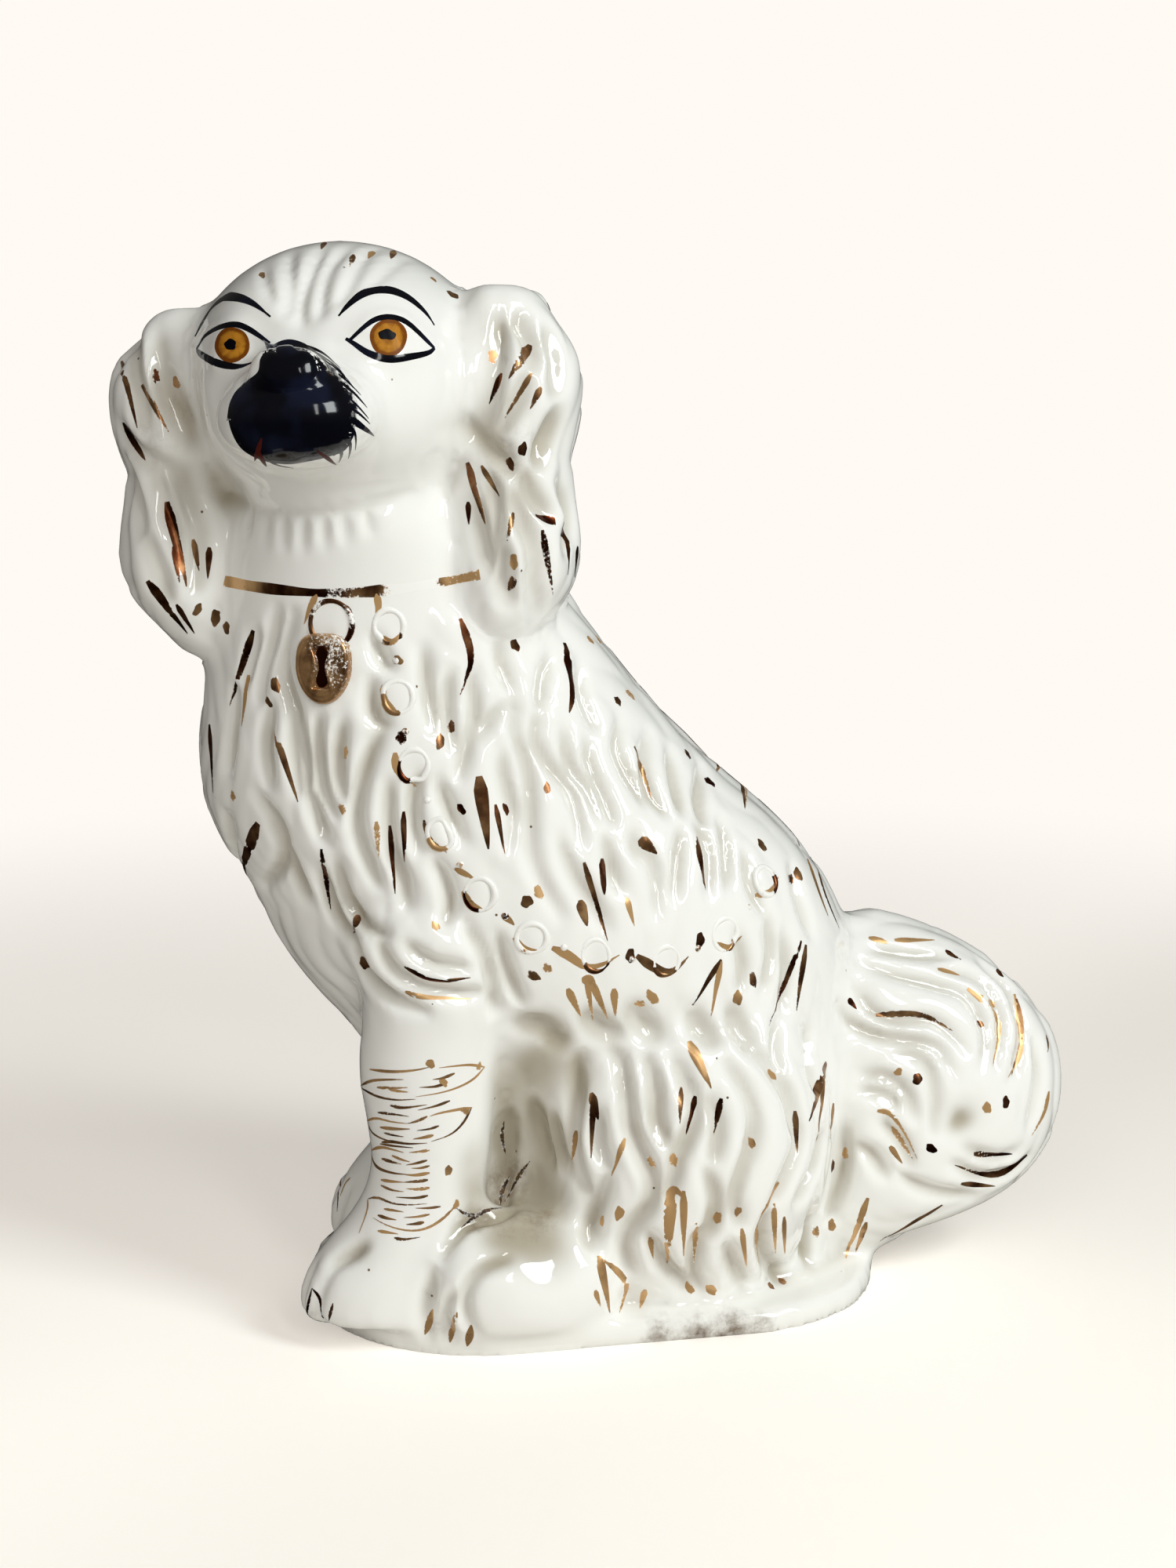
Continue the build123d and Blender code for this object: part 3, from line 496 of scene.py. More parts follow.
# Padlock: half width, half height, relief, powers that round its top and its foot, taper, points round it
PADLOCK_HALF_WIDTH, PADLOCK_HALF_HEIGHT, PADLOCK_RELIEF = 7.4, 9.2, 2.6
PADLOCK_TOP, PADLOCK_FOOT, PADLOCK_TAPER, PADLOCK_SIDES = 0.62, 0.95, 0.14, 112
# Moulded border of the padlock from its root inwards: share of the rim and height of each ring
PADLOCK_BORDER = (
    (1.03, -3.0), (1.03, -0.4), (1.02, 0.9), (0.99, 1.7), (0.95, 2.15), (0.9, 2.3), (0.86, 2.2),
    (0.82, 2.25),
)
# Keyhole: its middle, half width at the waist, how much wider its ends are, half length and depth
KEYHOLE_MIDDLE, KEYHOLE_WAIST, KEYHOLE_FLARE, KEYHOLE_REACH, KEYHOLE_DEPTH = 0.6, 1.05, 1.2, 5.8, 1.3
# Lining of the keyhole: half length, depth, points round it, and share of the rim and height of each ring
LINING_REACH, LINING_DEPTH, LINING_SIDES = 5.7, 0.85, 60
LINING_ROWS = ((1.0, -0.75), (1.0, -0.28), (0.93, -0.12), (0.7, -0.2), (0.4, -0.22), (0.06, -0.22))
# Shackle and links: radii across and upwards, radius and sinking of the wire, points round ring and wire
SHACKLE_RADII, SHACKLE_WIRE, SHACKLE_SINK, SHACKLE_POINTS = (5.7, 6.2), 0.85, 0.5, (56, 14)
LINK_RADII, LINK_WIRE, LINK_SINK, LINK_POINTS = (3.9, 4.3), 0.95, 0.64, (44, 12)
# Beads between links: radius, sinking, points round one and the latitudes of its rings
BEAD_RADIUS, BEAD_SINK, BEAD_SIDES = 1.2, 0.6, 14
BEAD_LATITUDES = (-50, -20, 10, 40, 70)
# Collar line at the throat, in pixels of the photograph
THROAT_PIXELS = (286, 741, 330, 749, 400, 756, 450, 756, 500, 752, 556, 744, 612, 733)
# Collar line: places along it from 0 to 1, with how much gold is lost and how pale the gold is there
COLLAR_WEAR_PLACES = (0.0, 0.1, 0.36, 0.4, 0.6, 0.66, 0.72, 0.82, 0.86, 1.0)
COLLAR_WEAR = (0.25, 0.15, 0.1, 0.5, 0.2, 0.62, 0.8, 0.75, 0.3, 0.35)
COLLAR_TONE_PLACES = (0.0, 0.13, 0.2, 0.38, 0.5, 0.6, 0.68, 0.85, 1.0)
COLLAR_TONE = (0.95, 0.85, 0.2, 0.1, 0.45, 0.15, 0.9, 0.6, 0.9)
COLLAR_HALF_WIDTH, COLLAR_SAMPLES = 1.35, 60

# Section of a brush stroke: places across it, and its height and its wear there
STROKE_ACROSS = np.array([-1.0, -0.55, 0.0, 0.55, 1.0])
STROKE_RISE = np.array([0.15, 0.9, 1.0, 0.9, 0.15])
STROKE_RUB = np.array([0.16, 0.03, 0.0, 0.03, 0.16])
# Rise of thick paint over the rings next to its rim
RIM_RISE = np.array([0.35, 0.55, 0.75, 0.88, 0.96])
# How pale the iris is from its rim to its middle
IRIS_TONE = np.array([0.0, 0.05, 0.5, 0.62, 0.66, 0.6, 0.45, 0.4])
# Wear of a dot from its rim to its middle
DOT_WEAR = np.array([0.34, 0.2, 0.15, 0.15])
# How much broader than a usual stroke a broad one is
BROAD_STROKE = 1.7
# Flecks out of sight: tries to place them, share that are dots, and shortest and longest stroke
FLECK_TRIES, FLECK_DOTS, FLECK_LENGTHS = 9000, 0.35, (8, 19)
# Finish and slot of gold and of the black enamel
GILT, BLACK = ("worn_gilding", "gilding"), ("blue_black_enamel", "black_enamel")
# Rounds that even out a line which the furrows make jagged
LINE_ROUNDS = 4

# Floor: radii of its rings in metres from the rim inwards, and points round it
FLOOR_RADII, FLOOR_SIDES = (2.2, 1.6, 1.2, 0.9, 0.6, 0.3), 96


def linear(hex_colour):
    """Linear colour of an sRGB hex colour."""
    channels = [int(hex_colour[start:start + 2], 16) / 255 for start in (0, 2, 4)]
    return tuple(c / 12.92 if c <= 0.04045 else ((c + 0.055) / 1.055) ** 2.4 for c in channels)


def colour_property(name, description, hex_colour):
    """Colour setting with its default from a hex value."""
    colour = linear(hex_colour)
    return FloatVectorProperty(name=name, description=description, subtype="COLOR", default=colour)


def length_property(name, description, millimetres):
    """Length setting with its default in millimetres."""
    length = millimetres * MM
    return FloatProperty(name=name, description=description, default=length, unit="LENGTH", precision=5)


def power_property(name, description, watts):
    """Power setting of a light."""
    return FloatProperty(name=name, description=description, default=watts, unit="POWER")


class WareSettings(bpy.types.PropertyGroup):
    """Sizes of the welded and modelled clay."""

    voxel: length_property("Weld voxel", "Grain at which the clay pieces are welded", 2.2)
    wall: length_property("Skin wall", "Thickness of each parted piece of the skin", 2.4)
    lute_rounds: IntProperty(name="Lute rounds", description="Smoothing over luted joints", default=5)
    relief: FloatProperty(name="Fur relief", description="Factor on the relief of the locks", default=1.35)
    swing: FloatProperty(name="Swing", description="Turn of a lock", default=radians(30), subtype="ANGLE")
    wave: length_property("Lock wave", "Length of one wave of a lock", 46.0)
    lock: length_property("Lock length", "Usual length of a lock", 50.0)
    seed: IntProperty(name="Seed", description="Start of the random draws for locks and flecks", default=7)


class PaintSettings(bpy.types.PropertyGroup):
    """Sizes of the fired coats."""

    lift: length_property("Coat lift", "How far a coat stands over the glaze", 0.12)
    depth: length_property("Coat depth", "How far a coat goes into the glaze", 0.3)
    stroke: length_property("Stroke half width", "Half width of a usual gilt stroke", 0.95)
    dot: length_property("Dot radius", "Radius of a gilt dot", 1.4)
    liner: length_property("Liner half width", "Half width of the painted outline of an eye", 0.78)
    brow: length_property("Brow half width", "Half width of a brow at its middle", 1.6)
    fleck_spacing: length_property("Fleck spacing", "Spacing of flecks on the sides out of sight", 19.0)


class FinishSettings(bpy.types.PropertyGroup):
    """Colours of clay, glaze, enamel and gold."""

    glaze: colour_property("Glaze", "Glaze over white clay", "F5F5F2")
    # Darker glaze colour, laid where the glaze pools and also as painted shade in furrows, creases and
    # hollows; the biscuit's grain uses it too
    glaze_pool_and_shade: colour_property("Pooled glaze", "Glaze where it pools in furrows", "B2AA98")
    # Colour of old soiling in crevices and pinholes, also laid as painted shade in some hollows; the crevice
    # lines use it too
    grime: colour_property("Grime", "Dirt in crevices and pinholes", "6B5236")
    clay: colour_property("Biscuit clay", "Unglazed clay inside the ware", "D9CBB0")
    gold: colour_property("Gold", "Bright burnished gold", "D8AD78")
    gold_deep: colour_property("Deep gold", "Thick, darker gold", "63301A")
    black: colour_property("Blue-black", "Enamel of the muzzle", "07080F")
    black_sheen: colour_property("Thin blue-black", "Muzzle enamel where it lies thin", "14182A")
    amber: colour_property("Amber", "Enamel of the iris", "BC8027")
    amber_deep: colour_property("Deep amber", "Brush streaks of the iris", "75400E")
    brown: colour_property("Brown", "Enamel of the pupil", "1C0C07")
    iron_red: colour_property("Iron red", "Lines of the mouth", "4A1812")
    backdrop: colour_property("Backdrop", "Pale ground of the studio", "FFFAF4")


class StudioSettings(bpy.types.PropertyGroup):
    """Camera distance and strength of the lights."""

    distance: length_property("Camera distance", "From the camera to the middle of the view", 740.0)
    key: power_property("Window light", "Power of the window on the right", 10.0)
    side: power_property("Side light", "Power of the narrow window", 2.2)
    fill: power_property("Fill light", "Power of the fill on the left", 0.25)
    front: power_property("Front light", "Power of the fill in front", 3.9)
    room: FloatProperty(name="Room light", description="Strength of the light of the room", default=0.24)


# Surface of the ware, shared by the operators of one run
ware = {}


def node_triangles(name):
    """Points of a node in millimetres, and its triangles."""
    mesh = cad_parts[name].data
    mesh.calc_loop_triangles()
    points = np.empty((len(mesh.vertices), 3), np.float32)
    mesh.vertices.foreach_get("co", points.ravel())
    corners = np.empty((len(mesh.loop_triangles), 3), np.int32)
    mesh.loop_triangles.foreach_get("vertices", corners.ravel())
    return points / MM, corners


def vent_plug():
    """Closed prism that stops the firing vent while the clay is welded."""
    sides = 24
    turns = np.arange(sides) * 2 * pi / sides
    ring = np.stack([VENT_MIDDLE[0] + VENT_RADIUS * np.cos(turns), VENT_RADIUS * np.sin(turns)], 1)
    low = np.column_stack([ring, np.zeros(sides)])
    high = np.column_stack([ring, np.full(sides, VENT_DEPTH + 1)])
    middle = [(*VENT_MIDDLE, 0), (*VENT_MIDDLE, VENT_DEPTH + 1)]
    here = np.arange(sides)
    after = np.roll(here, -1)
    walls = [np.stack([here, after, sides + after], 1), np.stack([here, sides + after, sides + here], 1)]
    floors = np.stack([after, here, np.full(sides, 2 * sides)], 1)
    lids = np.stack([sides + here, sides + after, np.full(sides, 2 * sides + 1)], 1)
    return np.concatenate([low, high, middle]), np.concatenate([*walls, floors, lids])


def run_modifier(points, faces, kind, labels=None, **settings):
    """Points, quads and face labels of a mesh after one modifier."""
    mesh = bpy.data.meshes.new("clay_block")
    mesh.from_pydata(points * MM, [], faces)
    if labels is not None:
        mesh.attributes.new("piece", "INT", "FACE").data.foreach_set("value", labels.astype(np.int32))
    block = bpy.data.objects.new("clay_block", mesh)
    bpy.context.scene.collection.objects.link(block)
    modifier = block.modifiers.new(kind, kind)
    for name, value in settings.items():
        setattr(modifier, name, value)
    graph = bpy.context.evaluated_depsgraph_get()
    made = bpy.data.meshes.new_from_object(block.evaluated_get(graph))
    new_points = np.empty((len(made.vertices), 3), np.float32)
    made.vertices.foreach_get("co", new_points.ravel())
    quads = np.empty(len(made.loops), np.int32)
    made.loops.foreach_get("vertex_index", quads)
    if len(made.loops) != 4 * len(made.polygons):
        raise RuntimeError("the welded clay is not all quads")
    new_labels = np.zeros(len(made.polygons), np.int32)
    if labels is not None:
        made.attributes["piece"].data.foreach_get("value", new_labels)
    bpy.data.objects.remove(block)
    bpy.data.meshes.remove(mesh)
    bpy.data.meshes.remove(made)
    return new_points.astype(float) / MM, quads.reshape(-1, 4), new_labels


def edges_of(quads):
    """Edges of quads, each once."""
    pairs = np.concatenate([quads[:, [0, 1]], quads[:, [1, 2]], quads[:, [2, 3]], quads[:, [3, 0]]])
    pairs = np.sort(pairs, 1).astype(np.int64)
    count = int(quads.max()) + 1
    keys = np.unique(pairs[:, 0] * count + pairs[:, 1])
    return np.stack([keys // count, keys % count], 1)


def relax(values, edges, rounds, weight=0.5):
    """Evens out values at points towards those of their neighbours."""
    flat = values.reshape(len(values), -1)
    ends = edges.T.ravel()
    others = edges[:, ::-1].T.ravel()
    degree = np.maximum(np.bincount(ends, minlength=len(flat)), 1)[:, None]
    for _ in range(rounds):
        sums = [np.bincount(ends, flat[others, k], len(flat)) for k in range(flat.shape[1])]
        flat = flat + weight * (np.stack(sums, 1) / degree - flat)
    return flat.reshape(values.shape)


def normals_of(points, quads):
    """Unit normals at the points of a quad mesh."""
    across = np.cross(points[quads[:, 2]] - points[quads[:, 0]], points[quads[:, 3]] - points[quads[:, 1]])
    corner = quads.ravel()
    sums = [np.bincount(corner, np.repeat(across[:, k], 4), len(points)) for k in range(3)]
    return unit(np.stack(sums, 1))


def at_points(values, quads, count):
    """Mean at each point of values on the faces round it."""
    flat = values.reshape(len(values), -1)
    share = np.maximum(np.bincount(quads.ravel(), minlength=count), 1)[:, None]
    sums = [np.bincount(quads.ravel(), np.repeat(flat[:, k], 4), count) for k in range(flat.shape[1])]
    return np.stack(sums, 1) / share


def step_between(values, low, high):
    """Smooth step from 0 at one value to 1 at another."""
    share = np.clip((values - low) / (high - low), 0, 1)
    return share * share * (3 - 2 * share)


def unit(vectors):
    """Vectors at unit length."""
    return vectors / np.maximum(np.linalg.norm(vectors, axis=-1, keepdims=True), 1e-9)


def round_turns(count):
    """Even turns round a full circle."""
    return np.linspace(0, 2 * pi, count, endpoint=False)


def bell(points, place, radius):
    """Bell-shaped share of each point round a place, 1 in its middle."""
    gap = points - np.array(place)
    return np.exp(-(gap * gap).sum(1) / (2 * radius**2))


def weld_clay(settings):
    """Outer surface of all the clay pieces, with the node that each quad belongs to."""
    parts = [node_triangles(name) for name in CLAY_NODES] + [vent_plug()]
    starts = np.cumsum([0] + [len(points) for points, _ in parts])
    points = np.concatenate([points for points, _ in parts])
    corners = np.concatenate([faces + start for (_, faces), start in zip(parts, starts)])
    owners = np.repeat(np.arange(len(parts)), [len(faces) for _, faces in parts]) % len(CLAY_NODES)
    tree = BVHTree.FromPolygons(points.tolist(), corners.tolist())
    skin, quads, _ = run_modifier(points, corners, "REMESH", mode="VOXEL", voxel_size=settings.voxel)
    middles = skin[quads].mean(1)
    labels = np.array([owners[tree.find_nearest(middle)[2]] for middle in middles.tolist()])
    edges = edges_of(quads)
    shares = relax(at_points(np.eye(len(CLAY_NODES))[labels], quads, len(skin)), edges, 3)
    labels = shares[quads].mean(1).argmax(1)
    face = step_between(-in_head(skin)[:, 1:2], *FACE_AHEAD) * (skin[:, 2:] > FACE_FOOT)
    skin = relax(skin, edges, settings.lute_rounds, 0.5 * (1 - FACE_HOLD * face))
    ahead = -in_head(skin)[:, 1:2]
    cheek = step_between(ahead, *CHEEK_AHEAD) * (1 - step_between(ahead, *MUZZLE_AHEAD))
    cove = ((relax(skin, edges, 2) - skin) * normals_of(skin, quads)).sum(1, keepdims=True)
    cove = cheek * (skin[:, 2:] > CHEEK_FOOT) * step_between(cove, *COVE_HOLLOW)
    cove = relax(cove, edges, COVE_SPREAD)
    skin = relax(skin, edges, COVE_ROUNDS, 0.5 * np.clip(COVE_GAIN * cove, 0, 1))
    return run_modifier(skin, quads, "SUBSURF", labels, levels=1, render_levels=1)


def view_axes():
    """Camera's place in millimetres, and its right, up and backward directions."""
    turn, lift = radians(VIEW_TURN), radians(VIEW_LIFT)
    back = Vector((sin(turn) * cos(lift), -cos(turn) * cos(lift), sin(lift)))
    right = UP.cross(back).normalized()
    distance = bpy.context.scene.spaniel_studio.distance / MM
    return VIEW_MIDDLE + back * distance, right, back.cross(right), back


def seen(u, v):
    """Point of the surface under a pixel of the photograph, or the nearest one beside the outline."""
    place, right, up, back = view_axes()
    across = (u - PICTURE_WIDTH / 2) / LENS_PIXELS
    above = (PICTURE_HEIGHT / 2 - v) / LENS_PIXELS
    ray = (right * across + up * above - back).normalized()
    spot = ware["tree"].ray_cast(place, ray)[0]
    if spot is None:
        near = [ware["tree"].find_nearest(place + ray * reach) for reach in range(560, 920, 4)]
        spot = min(near, key=lambda found: found[3])[0]
    return spot


def settle(point):
    """Nearest point of the surface, and the smooth normal there."""
    spot, _, face, _ = ware["tree"].find_nearest(point)
    corners = ware["quads"][face]
    share = 1 / (((ware["points"][corners] - spot) ** 2).sum(1) + 0.05)
    return np.array(spot), unit(share @ ware["normals"][corners])


def points_near(spot, reach):
    """Numbers of the points within reach of a spot."""
    return [hit[1] for hit in ware["finder"].find_range(spot, reach)]


def rest_on_surface(points, normals, quads):
    """Keeps the surface for casting and settling."""
    ware["points"], ware["normals"], ware["quads"] = points, normals, quads
    ware["tree"] = BVHTree.FromPolygons(points.tolist(), quads.tolist())


def head_matrix():
    """Head's frame, with the face towards -Y."""
    turn = Matrix.Rotation(radians(HEAD_TURN), 4, "Z")
    pitch = Matrix.Rotation(radians(HEAD_PITCH), 4, "X")
    roll = Matrix.Rotation(radians(HEAD_ROLL), 4, "Y")
    return Matrix.Translation(HEAD_CENTRE) @ turn @ pitch @ roll


def in_head(points):
    """Points in the head's frame."""
    inverse = np.array(head_matrix().inverted())
    return points @ inverse[:3, :3].T + inverse[:3, 3]


def smooth_line(knots, count, closed=False):
    """Even samples on a curve through knots."""
    knots = np.asarray(knots, float)
    if closed:
        before, after = knots[-1:], knots[:2]
        ring = np.concatenate([before, knots, after])
    else:
        ring = np.concatenate([2 * knots[:1] - knots[1:2], knots, 2 * knots[-1:] - knots[-2:-1]])
    spans = len(ring) - 3
    places = np.linspace(0, spans, count, endpoint=not closed)
    span = np.minimum(places.astype(int), spans - 1)
    t = (places - span)[:, None]
    a, b, c, d = (ring[span + k] for k in range(4))
    bend = (2 * a - 5 * b + 4 * c - d) * t * t + (3 * b - a - 3 * c + d) * t**3
    return b + 0.5 * ((c - a) * t + bend)


def lie_of_fur(points, normals, owner, settings):
    """Direction of the fur at each point, with the pitch and the relief of its locks."""
    mirrored = points * (1, 0, 1) + np.abs(points) * (0, 1, 0)
    weights = np.zeros((len(points), len(FUR_LIE)))
    for k, (place, _, _, _) in enumerate(FUR_LIE):
        weights[:, k] = bell(mirrored, place, LIE_REACH)
    weights = (weights + 1e-12) / (weights + 1e-12).sum(1, keepdims=True)
    flow = weights @ np.array([lie for _, lie, _, _ in FUR_LIE], float)
    pitch = weights @ np.array([row[2] for row in FUR_LIE])
    relief = weights @ np.array([row[3] for row in FUR_LIE])
    swing = np.full(len(points), settings.swing)
    names = np.array(CLAY_NODES)[owner]
    tail = names == "tail"
    from_curl = points - np.array(seen(*TAIL_CURL_PIXEL))
    turning = np.stack([from_curl[:, 2], np.zeros(len(points)), -from_curl[:, 0]], 1)
    flow[tail] = (unit(turning) - 0.25 * unit(from_curl))[tail]
    pitch[tail], relief[tail], swing[tail] = TAIL_PITCH, TAIL_RELIEF, 0.4 * settings.swing
    ears = np.isin(names, EAR_NODES)
    flow[ears] = (0, 0, -1)
    pitch[ears], relief[ears] = EAR_PITCH, EAR_RELIEF
    crown = np.isin(names, HEAD_NODES)
    flow[crown] = (0.1, 0.3, -1)
    pitch[crown], relief[crown] = CROWN_PITCH, CROWN_RELIEF
    x, y, z = points.T
    drift = 1.6 * np.sin(x / 21 + 1.3) + 1.2 * np.sin(y / 17 + z / 41) + 0.8 * np.sin((x + 2 * y) / 33)
    angle = swing * np.sin(2 * pi * z / (settings.wave / MM) + drift)
    flow = unit(flow - normals * (flow * normals).sum(1, keepdims=True))
    side = np.cross(normals, flow)
    return unit(flow * np.cos(angle)[:, None] + side * np.sin(angle)[:, None]), pitch, relief


def fur_amount(points, owner, edges):
    """How much of the fur's relief each point carries, from 0 to 1."""
    names = np.array(CLAY_NODES)[owner]
    amount = np.isin(names, FURRED_NODES).astype(float)
    z = points[:, 2]
    legs = np.isin(names, ("near_foreleg", "off_foreleg"))
    amount[legs] = step_between(z[legs], *LEG_FUR)
    crown = np.isin(names, HEAD_NODES)
    amount[crown] = step_between(in_head(points)[crown, 1], *CROWN_FUR)
    collar = np.isin(names, ("body_front_half", "body_back_half")) & (points[:, 0] < COLLAR_BACK)
    amount[collar] *= 1 - step_between(z[collar], *COLLAR_FUR)
    amount *= step_between(z, *BASE_FUR)
    return relax(amount, edges, 6)


def scatter(points, flow, along, across, allowed, rng, tries):
    """Picks points no closer than a length along the fur and a breadth across it."""
    order = rng.permutation(np.flatnonzero(allowed))[:tries]
    chosen = np.empty(len(order), int)
    places = np.empty((len(order), 3))
    count = 0
    for index in order:
        gap = places[:count] - points[index]
        ahead = gap @ flow[index]
        beside = (gap * gap).sum(1) - ahead * ahead
        if not np.any((ahead / along[index]) ** 2 + beside / across[index] ** 2 < 1):
            chosen[count], places[count] = index, points[index]
            count += 1
    return chosen[:count]


def comb(start, flow, step, count):
    """Line over the surface that follows the fur."""
    line = [np.array(start)]
    for _ in range(count - 1):
        near = ware["finder"].find(line[-1])[1]
        line.append(np.array(ware["tree"].find_nearest(line[-1] + flow[near] * step)[0]))
    return np.array(line)


def raise_locks(points, normals, flow, pitch, relief, amount, settings):
    """Height of the combed locks over the clay at each point."""
    rng = np.random.default_rng(settings.seed)
    furred = amount > 0.05
    seeds = scatter(points, flow, LOCK_ALONG * pitch, LOCK_ACROSS * pitch, furred, rng, LOCK_TRIES)
    height = np.zeros(len(points))
    step = LOCK_STEP
    for seed in seeds:
        length = settings.lock / MM * rng.uniform(0.7, 1.2)
        breadth = LOCK_BREADTH * pitch[seed] * rng.uniform(0.85, 1.2)
        rise = relief[seed] * rng.uniform(0.75, 1.15)
        count = int(length / step)
        line = comb(points[seed], flow, step, count)
        runs = unit(np.gradient(line, axis=0))
        for k in range(count):
            near = points_near(line[k], breadth + step)
            gap = points[near] - line[k]
            ahead = gap @ runs[k]
            under = (gap * normals[near]).sum(1)
            beside = (gap * gap).sum(1) - ahead * ahead - under * under
            place = np.clip((k + ahead / step) / count, 0, 1)
            width = breadth * np.clip(0.45 + 2.2 * place, 0, 1) * np.clip(2.6 * (1 - place), 0.12, 1) ** 0.7
            lift = rise * np.clip(5 * place, 0, 1) * np.clip(3 * (1 - place), 0, 1) ** 0.6
            lift *= np.clip(1 - beside / width**2, 0, 1) ** 0.8
            lift[np.abs(ahead) > step] = 0
            height[near] = np.maximum(height[near], lift)
    return height


def cut_furrows(points):
    """Depth of the furrows that the photograph shows, at each point."""
    depth = np.zeros(len(points))
    for lines, deep, half in FURROW_GROUPS:
        for pixels in lines:
            line = pixel_line(pixels, 12 * (len(pixels) // 2 - 1))
            for spot, taper in zip(line, tapered(len(line), 1.0) ** 0.5):
                near = points_near(spot, 2.6 * half)
                gap = ((points[near] - spot) ** 2).sum(1)
                depth[near] = np.maximum(depth[near], deep * taper * np.exp(-gap / half**2))
    return depth


def seen_amount(points, normals, edges):
    """How fully the photograph shows each point, from 0 to 1."""
    place, _, _, _ = view_axes()
    ways = np.array(place) - points
    facing = (unit(ways) * normals).sum(1)
    amount = step_between(facing, 0.0, 0.25)
    for index in np.flatnonzero(amount > 0):
        start = Vector(points[index]) + Vector(normals[index]) * 1.5
        if ware["tree"].ray_cast(start, Vector(ways[index]))[0] is not None:
            amount[index] = 0
    return relax(amount, edges, 8)


def face_height(points, owner, edges):
    """Height of the modelled face, forehead and ruff over the clay at each point."""
    head = in_head(points)
    x, y, z = head.T
    names = np.array(CLAY_NODES)[owner]
    on_head = np.isin(names, HEAD_NODES).astype(float)
    height = np.zeros(len(points))
    for place, rise, radius in FACE_DOMES:
        height += rise * bell(head, place, radius)
    round_nose = np.linalg.norm((head - NOSE_CENTRE) / NOSE_RADII, axis=1)
    crease = np.exp(-(((round_nose - NOSE_CREASE_PLACE) / NOSE_CREASE_BREADTH) ** 2))
    height -= NOSE_CREASE * crease * (1 - step_between(z, 4, 9))
    front = step_between(-y, 50, 56) * step_between(-z, 3, 7) * (1 - step_between(-z, 18, 22))
    height -= PHILTRUM_DEPTH * np.exp(-((x / PHILTRUM_BREADTH) ** 2)) * front
    stop = step_between(z, 4, 14) * (1 - step_between(z, 22, 32)) * step_between(-y, 20, 32)
    height -= STOP_DEPTH * np.exp(-((x / STOP_BREADTH) ** 2)) * stop
    for at, lean, deep, low, high in FOREHEAD_GROOVES:
        middle = at + lean * (z - 20) + 0.8 * np.sin(z / 4 + at)
        run = step_between(z, low, low + 5) * (1 - step_between(z, high - 6, high))
        run = run * step_between(-y, 4, 12)
        height -= deep * run * np.exp(-(((x - middle) / GROOVE_BREADTH) ** 2))
    height *= on_head
    return relax(height, edges, 1)


def paw_height(points):
    """Depth of the grooves between the toes at each point."""
    x, y, z = points.T
    height = np.zeros(len(points))
    for front, sign, places, length, top in PAWS:
        there = 1 - step_between(x, front + 0.6 * length, front + length)
        there = there * (1 - step_between(z, 0.7 * top, top)) * step_between(z, 6, 9) * (x > front - 10)
        for place in places:
            height -= TOE_DEPTH * there * np.exp(-(((y - sign * place) / TOE_BREADTH) ** 2))
    return height


def hollow_height(points):
    """Depth of the broad hollows at each point, and how much glaze that pools and painted shade darken them.
    """
    height, hollow_pool_and_shade = np.zeros(len(points)), np.zeros(len(points))
    for pixel, depth, radius, pooled_and_shaded in HOLLOWS:
        share = bell(points, seen(*pixel), radius)
        height -= depth * share
        hollow_pool_and_shade += pooled_and_shaded * share
    return height, hollow_pool_and_shade


def eyelid_height(points):
    """Low rim that the modeller raised round each eye."""
    height = np.zeros(len(points))
    for outline in (OFF_UPPER_LID, OFF_LOWER_LID, NEAR_UPPER_LID, NEAR_LOWER_LID):
        for u, v in smooth_line(outline, 24):
            height = np.maximum(height, LID_RISE * bell(points, seen(u, v), LID_BREADTH))
    return height


def grime_and_shade_amount(points):
    """How much old soiling and painted shade lies at each point, from 0 to 1."""
    amount = np.zeros(len(points))
    for pixel, radius, strength in GRIME_AND_SHADE_SPOTS:
        amount = np.maximum(amount, strength * bell(points, seen(*pixel), radius))
    return amount


